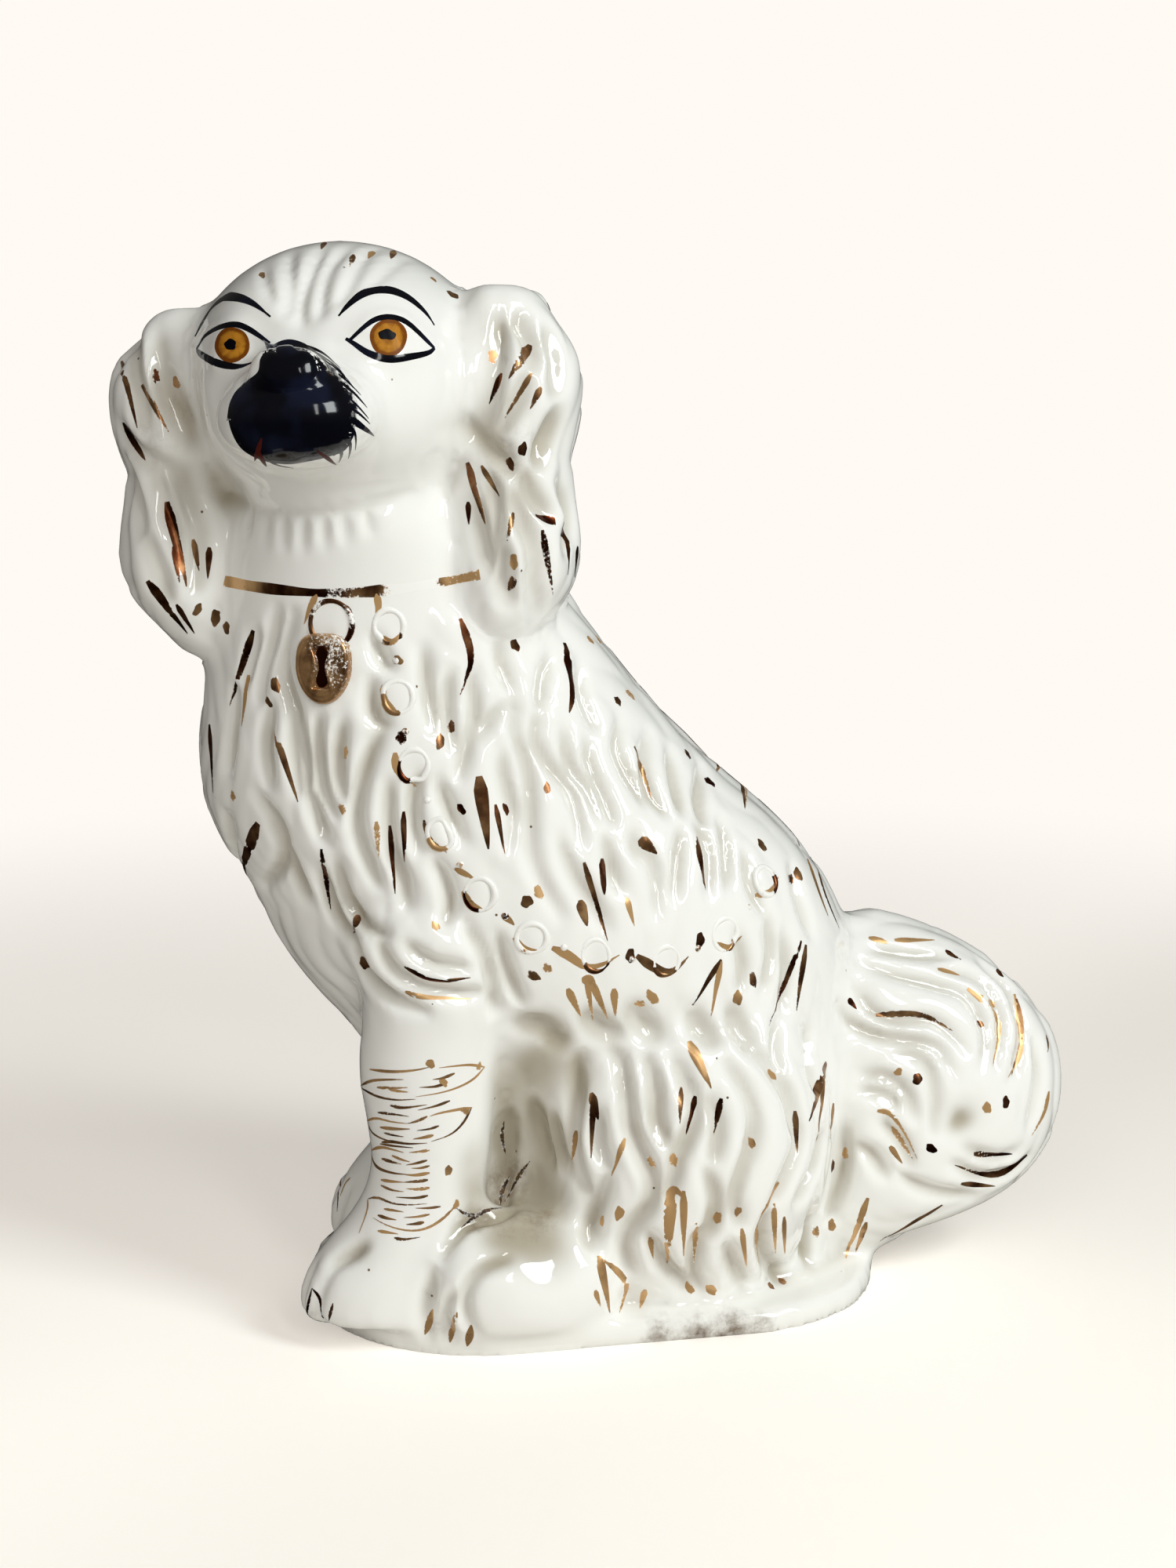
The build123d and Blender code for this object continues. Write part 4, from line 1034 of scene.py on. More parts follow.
def model_surface(settings):
    """Glazed surface: its points, quads and labels, its inside with normals, its darkening by glaze that
    pools and painted shade, and its old soiling with painted shade.
    """
    clay, quads, labels = weld_clay(settings)
    edges = edges_of(quads)
    owner = at_points(np.eye(len(CLAY_NODES))[labels], quads, len(clay)).argmax(1)
    normals = normals_of(clay, quads)
    under = (clay[:, 2] < UNDERSIDE_HEIGHT) & (normals[:, 2] < UNDERSIDE_FACING)
    clay[under, 2] = 0
    off_leg = relax((owner == CLAY_NODES.index("off_foreleg")).astype(float), edges, 12)
    off_leg = OFF_LEG_SETBACK * off_leg * (1 - step_between(clay[:, 2], *OFF_LEG_TOP))
    clay[:, 0] += off_leg * step_between(clay[:, 2], *OFF_LEG_FOOT)
    rest_on_surface(clay, normals, quads)
    finder = KDTree(len(clay))
    for index, point in enumerate(clay.tolist()):
        finder.insert(point, index)
    finder.balance()
    ware["finder"] = finder
    flow, pitch, relief = lie_of_fur(clay, normals, owner, settings)
    amount = fur_amount(clay, owner, edges)
    locks = raise_locks(clay, normals, flow, pitch, relief, amount, settings)
    locks = relax(locks, edges, 2)
    seen_share = seen_amount(clay, normals, edges)
    furrows = relax(cut_furrows(clay), edges, 1)
    free = 1 - (1 - SEEN_LOCK_SHARE) * seen_share
    fur = settings.relief * amount * free * (locks - LOCK_LEVEL * relief)
    fur = fur - FURROW_GAIN * furrows + SEEN_SWELL * seen_share * amount
    hollows, hollow_pool_and_shade = hollow_height(clay)
    shaped = face_height(clay, owner, edges) + paw_height(clay) + hollows + eyelid_height(clay)
    rise = fur + relax(shaped, edges, 1)
    points = clay + normals * rise[:, None]
    inside = clay + normals * (np.minimum(rise, 0) - settings.wall / MM)[:, None]
    vent = (np.hypot(clay[:, 0] - VENT_MIDDLE[0], clay[:, 1]) < VENT_RADIUS) & under
    points[under, 2] = 0
    points[vent, 2] = VENT_DEPTH
    # Darkening of the glaze at each point: where it pools, and as painted shade in the furrows between locks,
    # in sunken places and in the broad hollows
    furrow = np.clip(free * amount * (1 - locks / np.maximum(relief, 0.1)), 0, 1)
    furrow = np.maximum(furrow, np.clip(furrows / FURROW_FULL, 0, 1))
    sunk = ((relax(points, edges, SUNK_ROUNDS) - points) * normals_of(points, quads)).sum(1)
    furrow = np.maximum(0.6 * furrow, np.clip(sunk / SUNK_FULL, 0, 1.2)) + 0.9 * hollow_pool_and_shade
    ware["flow"], ware["amount"] = flow, amount
    rest_on_surface(points, normals_of(points, quads), quads)
    return points, quads, labels, inside, -normals, relax(furrow, edges, 2), grime_and_shade_amount(points)


def add_node(tree, kind, inputs=None, output=0, **settings):
    """Adds a shader node and returns an output; an input that is a socket is linked, any other is set."""
    made = tree.nodes.new(f"ShaderNode{kind}")
    for name, value in settings.items():
        setattr(made, name, value)
    for key, value in (inputs or {}).items():
        if isinstance(value, bpy.types.NodeSocket):
            tree.links.new(value, made.inputs[key])
        else:
            made.inputs[key].default_value = value
    return made.outputs[output] if made.outputs else None


# Sockets of a colour mix, whose names other mixes share, and settings that are used more than once
SHARE, FIRST, SECOND, MIX_RESULT = 0, 6, 7, 2
COLOUR_MIX = {"data_type": "RGBA", "output": MIX_RESULT}
SMOOTH = {"interpolation_type": "SMOOTHSTEP"}


def opaque(colour):
    """Colour setting with full alpha."""
    return (*colour, 1.0)


def scale_for(millimetres):
    """Texture scale at which one cell measures that many millimetres."""
    return 1 / (millimetres * MM)


def new_finish(name):
    """Material with no shader yet, what adds nodes to it, and the coordinates that all pieces share."""
    finish = bpy.data.materials.new(name)
    finish.use_nodes = True
    finish.node_tree.nodes.clear()
    add = partial(add_node, finish.node_tree)
    return finish, add, add("TexCoord", output="Object")


def glazed_earthenware(colours):
    """White earthenware dipped in clear lead glaze: wet gloss, darker where it pools and with painted shade
    in furrows and hollows, pinholes, old soiling with painted shade in some hollows.
    """
    finish, add, place = new_finish("white_glaze")
    furrow = add("Attribute", output="Fac", attribute_name="furrow")
    grime = add("Attribute", output="Fac", attribute_name="grime")
    cloud = add("TexNoise", {"Vector": place, "Scale": scale_for(45), "Detail": 3.0})
    # Darker glaze where it pools, and painted shade in furrows and hollows, broken up by a cloud of noise
    pooled_and_shaded = add("Math", {0: furrow, 1: cloud}, operation="MULTIPLY")
    pooled_and_shaded = add("MapRange", {"Value": pooled_and_shaded, "From Min": 0.06, "From Max": 0.62}, **SMOOTH)
    inputs = {SHARE: pooled_and_shaded, FIRST: opaque(colours.glaze), SECOND: opaque(colours.glaze_pool_and_shade)}
    body = add("Mix", inputs, **COLOUR_MIX)
    # Pinholes about half a millimetre wide, one in each 9 mm cell whose draw is high enough
    cells = add("TexVoronoi", {"Vector": place, "Scale": scale_for(9)}, "Distance")
    dots = add("MapRange", {"Value": cells, "From Min": 0.05, "From Max": 0.03}, **SMOOTH)
    draw = add("SeparateColor", {"Color": cells.node.outputs["Color"]}, "Red")
    draw = add("MapRange", {"Value": draw, "From Min": 0.55, "From Max": 0.6}, **SMOOTH)
    dots = add("Math", {0: dots, 1: draw}, operation="MULTIPLY")
    # Old soiling, and painted shade in the listed hollows and creases, broken up by fine noise
    dirt_and_shade = add("TexNoise", {"Vector": place, "Scale": scale_for(4), "Detail": 6.0, "Roughness": 0.7})
    dirt_and_shade = add("Math", {0: dirt_and_shade, 1: grime}, operation="MULTIPLY")
    dirt_and_shade = add("MapRange", {"Value": dirt_and_shade, "From Min": 0.16, "From Max": 0.7}, **SMOOTH)
    marks_and_shade = add("Math", {0: dots, 1: dirt_and_shade}, operation="MAXIMUM")
    body = add("Mix", {SHARE: marks_and_shade, FIRST: body, SECOND: opaque(colours.grime)}, **COLOUR_MIX)
    # Glaze runs a little uneven over some 14 mm, and the pinholes sink into it
    run = add("TexNoise", {"Vector": place, "Scale": scale_for(14), "Detail": 2.0})
    skin = add("Math", {0: run, 1: dots}, operation="SUBTRACT")
    bump = add("Bump", {"Height": skin, "Strength": 0.5, "Distance": 0.25 * MM})
    dull = add("MapRange", {"Value": marks_and_shade, "To Min": 0.05, "To Max": 0.45})
    shader = add("BsdfPrincipled", {"Base Color": body, "Normal": bump, "Roughness": dull, "IOR": 1.6})
    add("OutputMaterial", {"Surface": shader})
    return finish


def biscuit_clay(colours):
    """Unglazed earthenware pressed by hand: dry, matt and a little grainy."""
    finish, add, place = new_finish("dry_biscuit")
    grain = add("TexNoise", {"Vector": place, "Scale": scale_for(1.5), "Detail": 5.0})
    # The grain's darker colour is the colour of glaze that pools and of painted shade
    inputs = {SHARE: grain, FIRST: opaque(colours.clay), SECOND: opaque(colours.glaze_pool_and_shade)}
    body = add("Mix", inputs, **COLOUR_MIX)
    bump = add("Bump", {"Height": grain, "Strength": 0.6, "Distance": 0.3 * MM})
    shader = add("BsdfPrincipled", {"Base Color": body, "Normal": bump, "Roughness": 0.85})
    add("OutputMaterial", {"Surface": shader})
    return finish


def worn_share(add, place, millimetres, softness):
    """Share of a coat that is lost, from its own wear and from rubbing in specks of that size."""
    wear = add("Attribute", output="Fac", attribute_name="wear")
    inputs = {"Vector": place, "Scale": scale_for(millimetres), "Detail": 4.0, "Roughness": 0.65}
    specks = add("TexNoise", inputs)
    lost = add("Math", {0: wear, 1: specks}, operation="ADD")
    inputs = {"Value": lost, "From Min": 1.0 - softness, "From Max": 1.0 + softness}
    return add("MapRange", inputs, **SMOOTH)


def worn_gilding(colours):
    """Liquid gold brushed on the glaze and fired: tan where thin, brown where thick, rubbed in specks."""
    finish, add, place = new_finish("worn_gilding")
    lost = worn_share(add, place, 0.8, 0.08)
    streak = add("TexNoise", {"Vector": place, "Scale": scale_for(9), "Detail": 5.0, "Roughness": 0.6})
    tone = add("Attribute", output="Fac", attribute_name="tone")
    thin = add("Math", {0: streak, 1: tone}, operation="ADD")
    thin = add("MapRange", {"Value": thin, "From Min": 0.55, "From Max": 1.35}, **SMOOTH)
    inputs = {SHARE: thin, FIRST: opaque(colours.gold_deep), SECOND: opaque(colours.gold)}
    gold = add("Mix", inputs, **COLOUR_MIX)
    body = add("Mix", {SHARE: lost, FIRST: gold, SECOND: opaque(colours.glaze)}, **COLOUR_MIX)
    full = add("MapRange", {"Value": thin, "To Min": 1.0, "To Max": 0.45})
    metal = add("Math", {0: full, 1: lost}, operation="SUBTRACT", use_clamp=True)
    dull = add("MapRange", {"Value": streak, "To Min": 0.18, "To Max": 0.44})
    bump = add("Bump", {"Height": lost, "Strength": 0.25, "Distance": 0.05 * MM})
    inputs = {"Base Color": body, "Metallic": metal, "Roughness": dull, "Normal": bump}
    shader = add("BsdfPrincipled", inputs)
    add("OutputMaterial", {"Surface": shader})
    return finish


def blue_black_enamel(colours):
    """Cobalt black enamel brushed on the glaze and fired: wet, deep, broken where the brush ran dry."""
    finish, add, place = new_finish("blue_black_enamel")
    lost = worn_share(add, place, 1.6, 0.22)
    thin = add("TexNoise", {"Vector": place, "Scale": scale_for(10), "Detail": 2.0})
    thin = add("MapRange", {"Value": thin, "From Min": 0.45, "From Max": 0.75}, **SMOOTH)
    inputs = {SHARE: thin, FIRST: opaque(colours.black), SECOND: opaque(colours.black_sheen)}
    coat = add("Mix", inputs, **COLOUR_MIX)
    body = add("Mix", {SHARE: lost, FIRST: coat, SECOND: opaque(colours.glaze)}, **COLOUR_MIX)
    shader = add("BsdfPrincipled", {"Base Color": body, "Roughness": 0.11, "IOR": 1.42})
    add("OutputMaterial", {"Surface": shader})
    return finish


def brushed_enamel(name, first, second, colours):
    """Thin colour enamel laid on with a small brush: glossy, with streaks where the strokes overlap."""
    finish, add, place = new_finish(name)
    lost = worn_share(add, place, 1.2, 0.15)
    streak = add("TexNoise", {"Vector": place, "Scale": scale_for(3.2), "Detail": 4.0, "Distortion": 1.2})
    tone = add("Attribute", output="Fac", attribute_name="tone")
    streak = add("Math", {0: streak, 1: tone}, operation="ADD")
    streak = add("MapRange", {"Value": streak, "From Min": 0.6, "From Max": 1.3}, **SMOOTH)
    coat = add("Mix", {SHARE: streak, FIRST: opaque(first), SECOND: opaque(second)}, **COLOUR_MIX)
    body = add("Mix", {SHARE: lost, FIRST: coat, SECOND: opaque(colours.glaze)}, **COLOUR_MIX)
    bump = add("Bump", {"Height": streak, "Strength": 0.2, "Distance": 0.05 * MM})
    inputs = {"Base Color": body, "Normal": bump, "Roughness": 0.3, "Specular IOR Level": 0.06}
    shader = add("BsdfPrincipled", inputs)
    add("OutputMaterial", {"Surface": shader})
    return finish


def finish_of(name):
    """Material of that name, made at its first use."""
    if name in bpy.data.materials:
        return bpy.data.materials[name]
    colours = bpy.context.scene.spaniel_finish
    makers = {
        "white_glaze": glazed_earthenware,
        "dry_biscuit": biscuit_clay,
        "worn_gilding": worn_gilding,
        "blue_black_enamel": blue_black_enamel,
    }
    if name in makers:
        return makers[name](colours)
    streaks = {
        "iris_enamel": (colours.amber_deep, colours.amber),
        "pupil_enamel": (colours.brown, colours.black),
        "umber_enamel": (colours.brown, colours.grime),
        # The crevice lines streak towards the colour of old soiling and painted shade
        "iron_red_enamel": (colours.iron_red, colours.brown),
    }
    return brushed_enamel(name, *streaks[name], colours)


def make_piece(name, points, faces, normals, finish, slot, stands_for=(), values=None):
    """Adds a piece in metres that rides on the figure, with its finish and its values at points."""
    mesh = bpy.data.meshes.new(name)
    mesh.from_pydata(np.asarray(points) * MM, [], faces)
    for label, numbers in (values or {}).items():
        layer = mesh.attributes.new(label, "FLOAT", "POINT")
        layer.data.foreach_set("value", np.asarray(numbers, np.float32))
    mesh.shade_smooth()
    mesh.normals_split_custom_set_from_vertices(np.asarray(normals, np.float32).tolist())
    mesh.materials.append(finish_of(finish))
    piece = bpy.data.objects.new(name, mesh)
    bpy.context.scene.collection.objects.link(piece)
    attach(piece, "root")
    if stands_for:
        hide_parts(*stands_for)


class Coat:
    """Thin closed patches of enamel or gold on the surface, gathered into one piece."""

    def __init__(self):
        """Starts with no patch."""
        paint = bpy.context.scene.spaniel_paint
        self.lift, self.depth = paint.lift / MM, paint.depth / MM
        self.points, self.normals, self.wear, self.tone, self.faces = [], [], [], [], []
        self.count = 0
        self.rub = 1.0

    def grid(self, spots, normals, rises, wear, tone, closed=False, sheen=None):
        """Adds a patch from rows of surface points; a closed one is a ring whose rows go inwards."""
        rows, cols = spots.shape[:2]
        tops = spots + normals * rises[..., None]
        bottoms = spots - normals * self.depth
        self.points += [tops.reshape(-1, 3), bottoms.reshape(-1, 3)]
        self.normals += [(normals if sheen is None else sheen).reshape(-1, 3), normals.reshape(-1, 3)]
        self.wear += [wear.ravel()] * 2
        self.tone += [np.broadcast_to(tone, wear.shape).ravel()] * 2
        top = np.arange(rows * cols).reshape(rows, cols) + self.count
        low = top + rows * cols
        self.count += 2 * rows * cols
        after = np.roll(np.arange(cols), -1)
        last = cols if closed else cols - 1
        for j in range(last):
            k = after[j]
            for i in range(rows - 1):
                self.faces.append((top[i, j], top[i, k], top[i + 1, k], top[i + 1, j]))
                self.faces.append((low[i, j], low[i + 1, j], low[i + 1, k], low[i, k]))
            self.faces.append((top[0, k], top[0, j], low[0, j], low[0, k]))
            if not closed:
                self.faces.append((top[-1, j], top[-1, k], low[-1, k], low[-1, j]))
        if closed:
            self.faces += [tuple(top[-1]), tuple(low[-1, ::-1])]
            return
        for i in range(rows - 1):
            self.faces.append((top[i, 0], top[i + 1, 0], low[i + 1, 0], low[i, 0]))
            self.faces.append((top[i + 1, -1], top[i, -1], low[i, -1], low[i + 1, -1]))

    def strip(self, line, half_widths, wear, tone=0.5):
        """Adds a brush stroke along a line, thinner and more worn towards its edges."""
        runs = unit(np.gradient(line, axis=0))
        spots = np.empty((len(line), len(STROKE_ACROSS), 3))
        normals = np.empty_like(spots)
        for i, (middle, run, half) in enumerate(zip(line, runs, half_widths)):
            side = unit(np.cross(run, settle(middle)[1]))
            for j, share in enumerate(STROKE_ACROSS):
                spots[i, j], normals[i, j] = settle(middle + side * half * share)
        rises = np.repeat(self.lift * STROKE_RISE[None], len(line), 0)
        self.grid(spots, normals, rises, np.asarray(wear)[:, None] + self.rub * STROKE_RUB, tone)

    def lines(self, runs, count, half, wear, tone):
        """Adds even strokes, pointed at both ends, through pixels of the photograph."""
        for pixels in runs:
            line = pixel_line(pixels, count)
            self.strip(line, tapered(len(line), half), np.full(len(line), wear), tone)

    def fan(self, places, wear, lift=1.0, tone=0.5, rounds=0):
        """Adds a patch from rings that go inwards, anticlockwise from outside; thick paint runs even."""
        spots, normals = np.empty(places.shape), np.empty(places.shape)
        for at in np.ndindex(places.shape[:2]):
            spots[at], normals[at] = settle(places[at])
        rises = np.full(places.shape[:2], self.lift * lift)
        rises[0] *= 0.2
        sheen = None
        if rounds:
            rises[1:1 + len(RIM_RISE)] *= RIM_RISE[:, None]
            even = spots + normals * rises[..., None]
            for _ in range(rounds):
                beside = np.roll(even, 1, 1) + np.roll(even, -1, 1)
                even[1:-1] = 0.4 * even[1:-1] + 0.15 * beside[1:-1] + 0.15 * (even[:-2] + even[2:])
            rises = np.maximum(((even - spots) * normals).sum(-1), 0.2 * self.lift)
            tops = spots + normals * rises[..., None]
            sheen = unit(np.cross(np.roll(tops, -1, 1) - np.roll(tops, 1, 1), np.gradient(tops, axis=0)))
            sheen *= np.sign((sheen * normals).sum(-1, keepdims=True))
            sheen[-1] = unit(sheen[-1].mean(0))
        self.grid(spots, normals, rises, wear, tone, True, sheen)

    def finish(self, name, material, slot, stands_for=()):
        """Makes the piece."""
        if not self.faces:
            raise RuntimeError(f"{name} has no paint on it")
        points, normals = np.concatenate(self.points), np.concatenate(self.normals)
        values = {"wear": np.concatenate(self.wear), "tone": np.concatenate(self.tone)}
        make_piece(name, points, self.faces, normals, material, slot, stands_for, values)


def pixel_line(pixels, count):
    """Line on the surface under a curve through pixels of the photograph, with no jump over an outline."""
    knots = np.asarray(pixels, float).reshape(-1, 2)
    line = np.array([seen(u, v) for u, v in smooth_line(knots, count)])
    gaps = np.linalg.norm(np.diff(line, axis=0), axis=1)
    breaks = np.flatnonzero(gaps > 4 * np.median(gaps) + 1.5)
    ends = np.concatenate([[0], breaks + 1, [len(line)]])
    best = np.argmax(np.diff(ends))
    line = line[ends[best]:ends[best + 1]]
    for _ in range(LINE_ROUNDS):
        line[1:-1] = 0.5 * line[1:-1] + 0.25 * (line[:-2] + line[2:])
    return line


def teardrop(count, half):
    """Half widths of a brush stroke that starts full and runs out to a point."""
    share = np.linspace(0, 1, count)
    return half * np.clip(np.minimum(0.45 + 3.2 * share, 1.2 * (1 - share) ** 0.75 + 0.1), 0.12, 1)


def tapered(count, half):
    """Half widths of a stroke that is full in its middle and pointed at both ends."""
    return half * np.clip(np.sin(pi * np.linspace(0.03, 0.97, count)), 0.1, 1) ** 0.8


def gild_strokes(coat, strokes, half, rng, tan, sound=1.0):
    """Adds gilt brush strokes through pixels of the photograph; a smaller factor keeps them sounder."""
    for pixels in strokes:
        line = pixel_line(pixels, 12)
        widths = teardrop(len(line), half * rng.uniform(0.8, 1.2))
        coat.strip(line, widths, run_out(sound * gilt_wear(rng), len(line)), gilt_tone(rng, tan))


def run_out(wear, count):
    """Wear along a gilt stroke, more where the brush ran out of gold."""
    return wear + 0.18 * np.linspace(0, 1, count) ** 2


def gilt_wear(rng):
    """How worn one stroke is: most are sound, some are rubbed to specks."""
    return rng.uniform(0.08, 0.26) if rng.random() < 0.86 else rng.uniform(0.28, 0.36)


def gilt_tone(rng, tan=0.5):
    """How pale the gold of one stroke is: thick and dark, or thin and tan for that share of the strokes."""
    return rng.uniform(0.6, 1.0) if rng.random() < tan else rng.uniform(0.15, 0.45)


def rings_about(middle, rim, rings):
    """Rings of places that go inwards from a rim to its middle."""
    shares = np.linspace(1, 0.04, rings)[:, None, None]
    return middle + shares * (rim - middle)


def uneven(turns, rough, rng):
    """Factors round a rim that make it smoothly uneven."""
    waves = [np.sin(count * turns + rng.uniform(0, 2 * pi)) for count in (2, 3, 5)]
    return 1 + rough * sum(waves)


def gild_dot(coat, middle, radius, rng, tan=0.5):
    """Adds an oval gilt dot."""
    spot, normal = settle(middle)
    near = ware["finder"].find(spot)[1]
    along = ware["flow"][near]
    side = unit(np.cross(normal, along))
    turns = round_turns(20)
    length, breadth = radius * rng.uniform(1.1, 1.5), radius * rng.uniform(0.75, 1.0)
    wobble = uneven(turns, 0.08, rng)
    ahead, beside = (wobble * np.cos(turns))[:, None], (wobble * np.sin(turns))[:, None]
    rim = spot + ahead * length * along + beside * breadth * side
    wear = np.repeat(DOT_WEAR[:, None], len(turns), 1) + rng.uniform(-0.08, 0.2)
    coat.fan(rings_about(spot, rim, len(DOT_WEAR)), wear, 1.0, gilt_tone(rng, tan))


def anticlockwise(pixels):
    """Pixels in the order that runs anticlockwise in the picture."""
    pixels = np.asarray(pixels, float)
    u, v = pixels.T
    area = np.sum(u * np.roll(v, -1) - v * np.roll(u, -1))
    return pixels[::-1] if area > 0 else pixels


def pixel_fan(rim_pixels, middle, rings):
    """Rings of places on the surface under a rim of pixels and the pixels inside it."""
    pixels = rings_about(np.asarray(middle), rim_pixels, rings)
    return np.array([[seen(*pixel) for pixel in ring] for ring in pixels])


def oval_pixels(middle, radii, count, rng, rough):
    """Oval of pixels, anticlockwise in the picture, with an uneven rim."""
    turns = round_turns(count)
    wobble = uneven(turns, rough, rng)
    across, down = wobble * radii[0] * np.cos(turns), -wobble * radii[1] * np.sin(turns)
    return np.stack([middle[0] + across, middle[1] + down], 1)


class SPANIEL_OT_model_ware(bpy.types.Operator):
    """Models the glazed clay of the figure and parts it along its luted joints"""

    bl_idname = "spaniel.model_ware"
    bl_label = "Model Glazed Ware"

    def execute(self, context):
        """Makes one closed piece for each clay node."""
        settings = context.scene.spaniel_ware
        points, quads, labels, inside, inside_normals, furrow, grime = model_surface(settings)
        normals = ware["normals"]
        for label, node in enumerate(CLAY_NODES):
            faces = quads[labels == label]
            if not len(faces):
                raise RuntimeError(f"no surface belongs to {node}")
            used, local = np.unique(faces, return_inverse=True)
            local = local.reshape(-1, 4)
            count = len(used)
            sides = np.concatenate([local[:, [k, (k + 1) % 4]] for k in range(4)])
            keys = {}
            for start, end in sides.tolist():
                if (end, start) in keys:
                    del keys[(end, start)]
                else:
                    keys[(start, end)] = True
            rim = np.array([(end, start, start + count, end + count) for start, end in keys]).reshape(-1, 4)
            all_faces = np.concatenate([local, local[:, ::-1] + count, rim])
            all_points = np.concatenate([points[used], inside[used]])
            all_normals = np.concatenate([normals[used], inside_normals[used]])
            values = {"furrow": np.tile(furrow[used], 2), "grime": np.tile(grime[used], 2)}
            args = (all_points, all_faces, all_normals, "white_glaze", "glazed_earthenware")
            make_piece(f"{node}_ware", *args, (node,), values)
        return {"FINISHED"}


class SPANIEL_OT_line_seams(bpy.types.Operator):
    """Gives the clay strips over the inside joints their unglazed finish"""

    bl_idname = "spaniel.line_seams"
    bl_label = "Finish Seam Strips"

    def execute(self, context):
        """Puts biscuit clay on the strips."""
        for name in SEAM_NODES:
            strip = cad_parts[name].data
            strip.materials.clear()
            strip.materials.append(finish_of("dry_biscuit"))
        return {"FINISHED"}


class SPANIEL_OT_paint_muzzle(bpy.types.Operator):
    """Paints the blue-black muzzle and nose, the brush hairs and the mouth"""

    bl_idname = "spaniel.paint_muzzle"
    bl_label = "Paint Muzzle"

    def execute(self, context):
        """Makes the coats of the muzzle and the nose, the whiskers and the mouth lines."""
        rng = np.random.default_rng(context.scene.spaniel_ware.seed + 1)
        # Each coat: outline, middle and node, and rings, lift, raggedness and rounds that even it out
        coats = (
            ("muzzle_coat", MUZZLE_OUTLINE, MUZZLE_CENTRE, "muzzle_enamel", 30, 3.0, 0.015, 14),
            ("nose_coat", NOSE_OUTLINE, NOSE_CENTRE, "nose_enamel", 22, 5.0, 0.003, 12),
        )
        for name, outline, centre, node, rings, lift, rough, rounds in coats:
            middle = np.array(head_matrix() @ centre)
            rim_pixels = smooth_line(anticlockwise(outline), 120, closed=True)
            rim = np.array([seen(u, v) for u, v in rim_pixels])
            ways = unit(rim - middle)
            ahead = unit(ways.mean(0))
            right = step_between(rim_pixels[:, 0], *DRY_ACROSS)
            right = right * (1 - 0.9 * step_between(rim_pixels[:, 1], *DRY_DOWN))
            rough_rim = 1 + rough * right * rng.standard_normal(len(ways))
            places = np.empty((rings, len(ways), 3))
            for i, share in enumerate(np.linspace(1, 0.03, rings)):
                turned = unit(ahead + np.minimum(share * rough_rim, 1.05)[:, None] * (ways - ahead))
                for j, way in enumerate(turned):
                    places[i, j] = ware["tree"].ray_cast(middle, way)[0] or rim[j]
            for i in range(rings - 2, -1, -1):
                jump = places[i] - places[i + 1]
                length = np.linalg.norm(jump, axis=1, keepdims=True)
                short = np.minimum(1, 2.2 * np.median(length) / np.maximum(length, 1e-6))
                places[i] = places[i + 1] + jump * short
            edge = np.linspace(0, 1, rings)[:, None]
            worn = 0.6 if node == "muzzle_enamel" else 0.0
            wear = np.clip(worn * right[None] - 2.5 * edge, 0, 1)
            coat = Coat()
            coat.fan(places, wear, lift, 0.5, rounds)
            coat.finish(name, *BLACK, (node,))
        hairs = Coat()
        for pixels in BRUSH_HAIRS:
            line = pixel_line(pixels, 12)
            widths = teardrop(len(line), rng.uniform(0.45, 0.7))
            hairs.strip(line, widths, np.linspace(0.0, rng.uniform(0.1, 0.34), len(line)))
        line = pixel_line(WHISKER, 10)
        hairs.strip(line, teardrop(len(line), 0.95), np.zeros(len(line)))
        hairs.finish("muzzle_brush_hairs", *BLACK)
        mouth = Coat()
        mouth.lift *= 2.2
        mouth.lines(MOUTH_LINES, count=9, half=0.7, wear=0.1, tone=0.1)
        mouth.finish("mouth_lines", "iron_red_enamel", "brown_enamel")
        return {"FINISHED"}


def drawn_in(line, other):
    """Line on the head, drawn in so that it reaches little further back than the other eye's line."""
    back = in_head(line)[:, 1:2]
    beyond = np.maximum(back - in_head(other)[:, 1].max(), 0)
    return line - 0.6 * beyond * np.array(head_matrix().to_3x3().col[1])


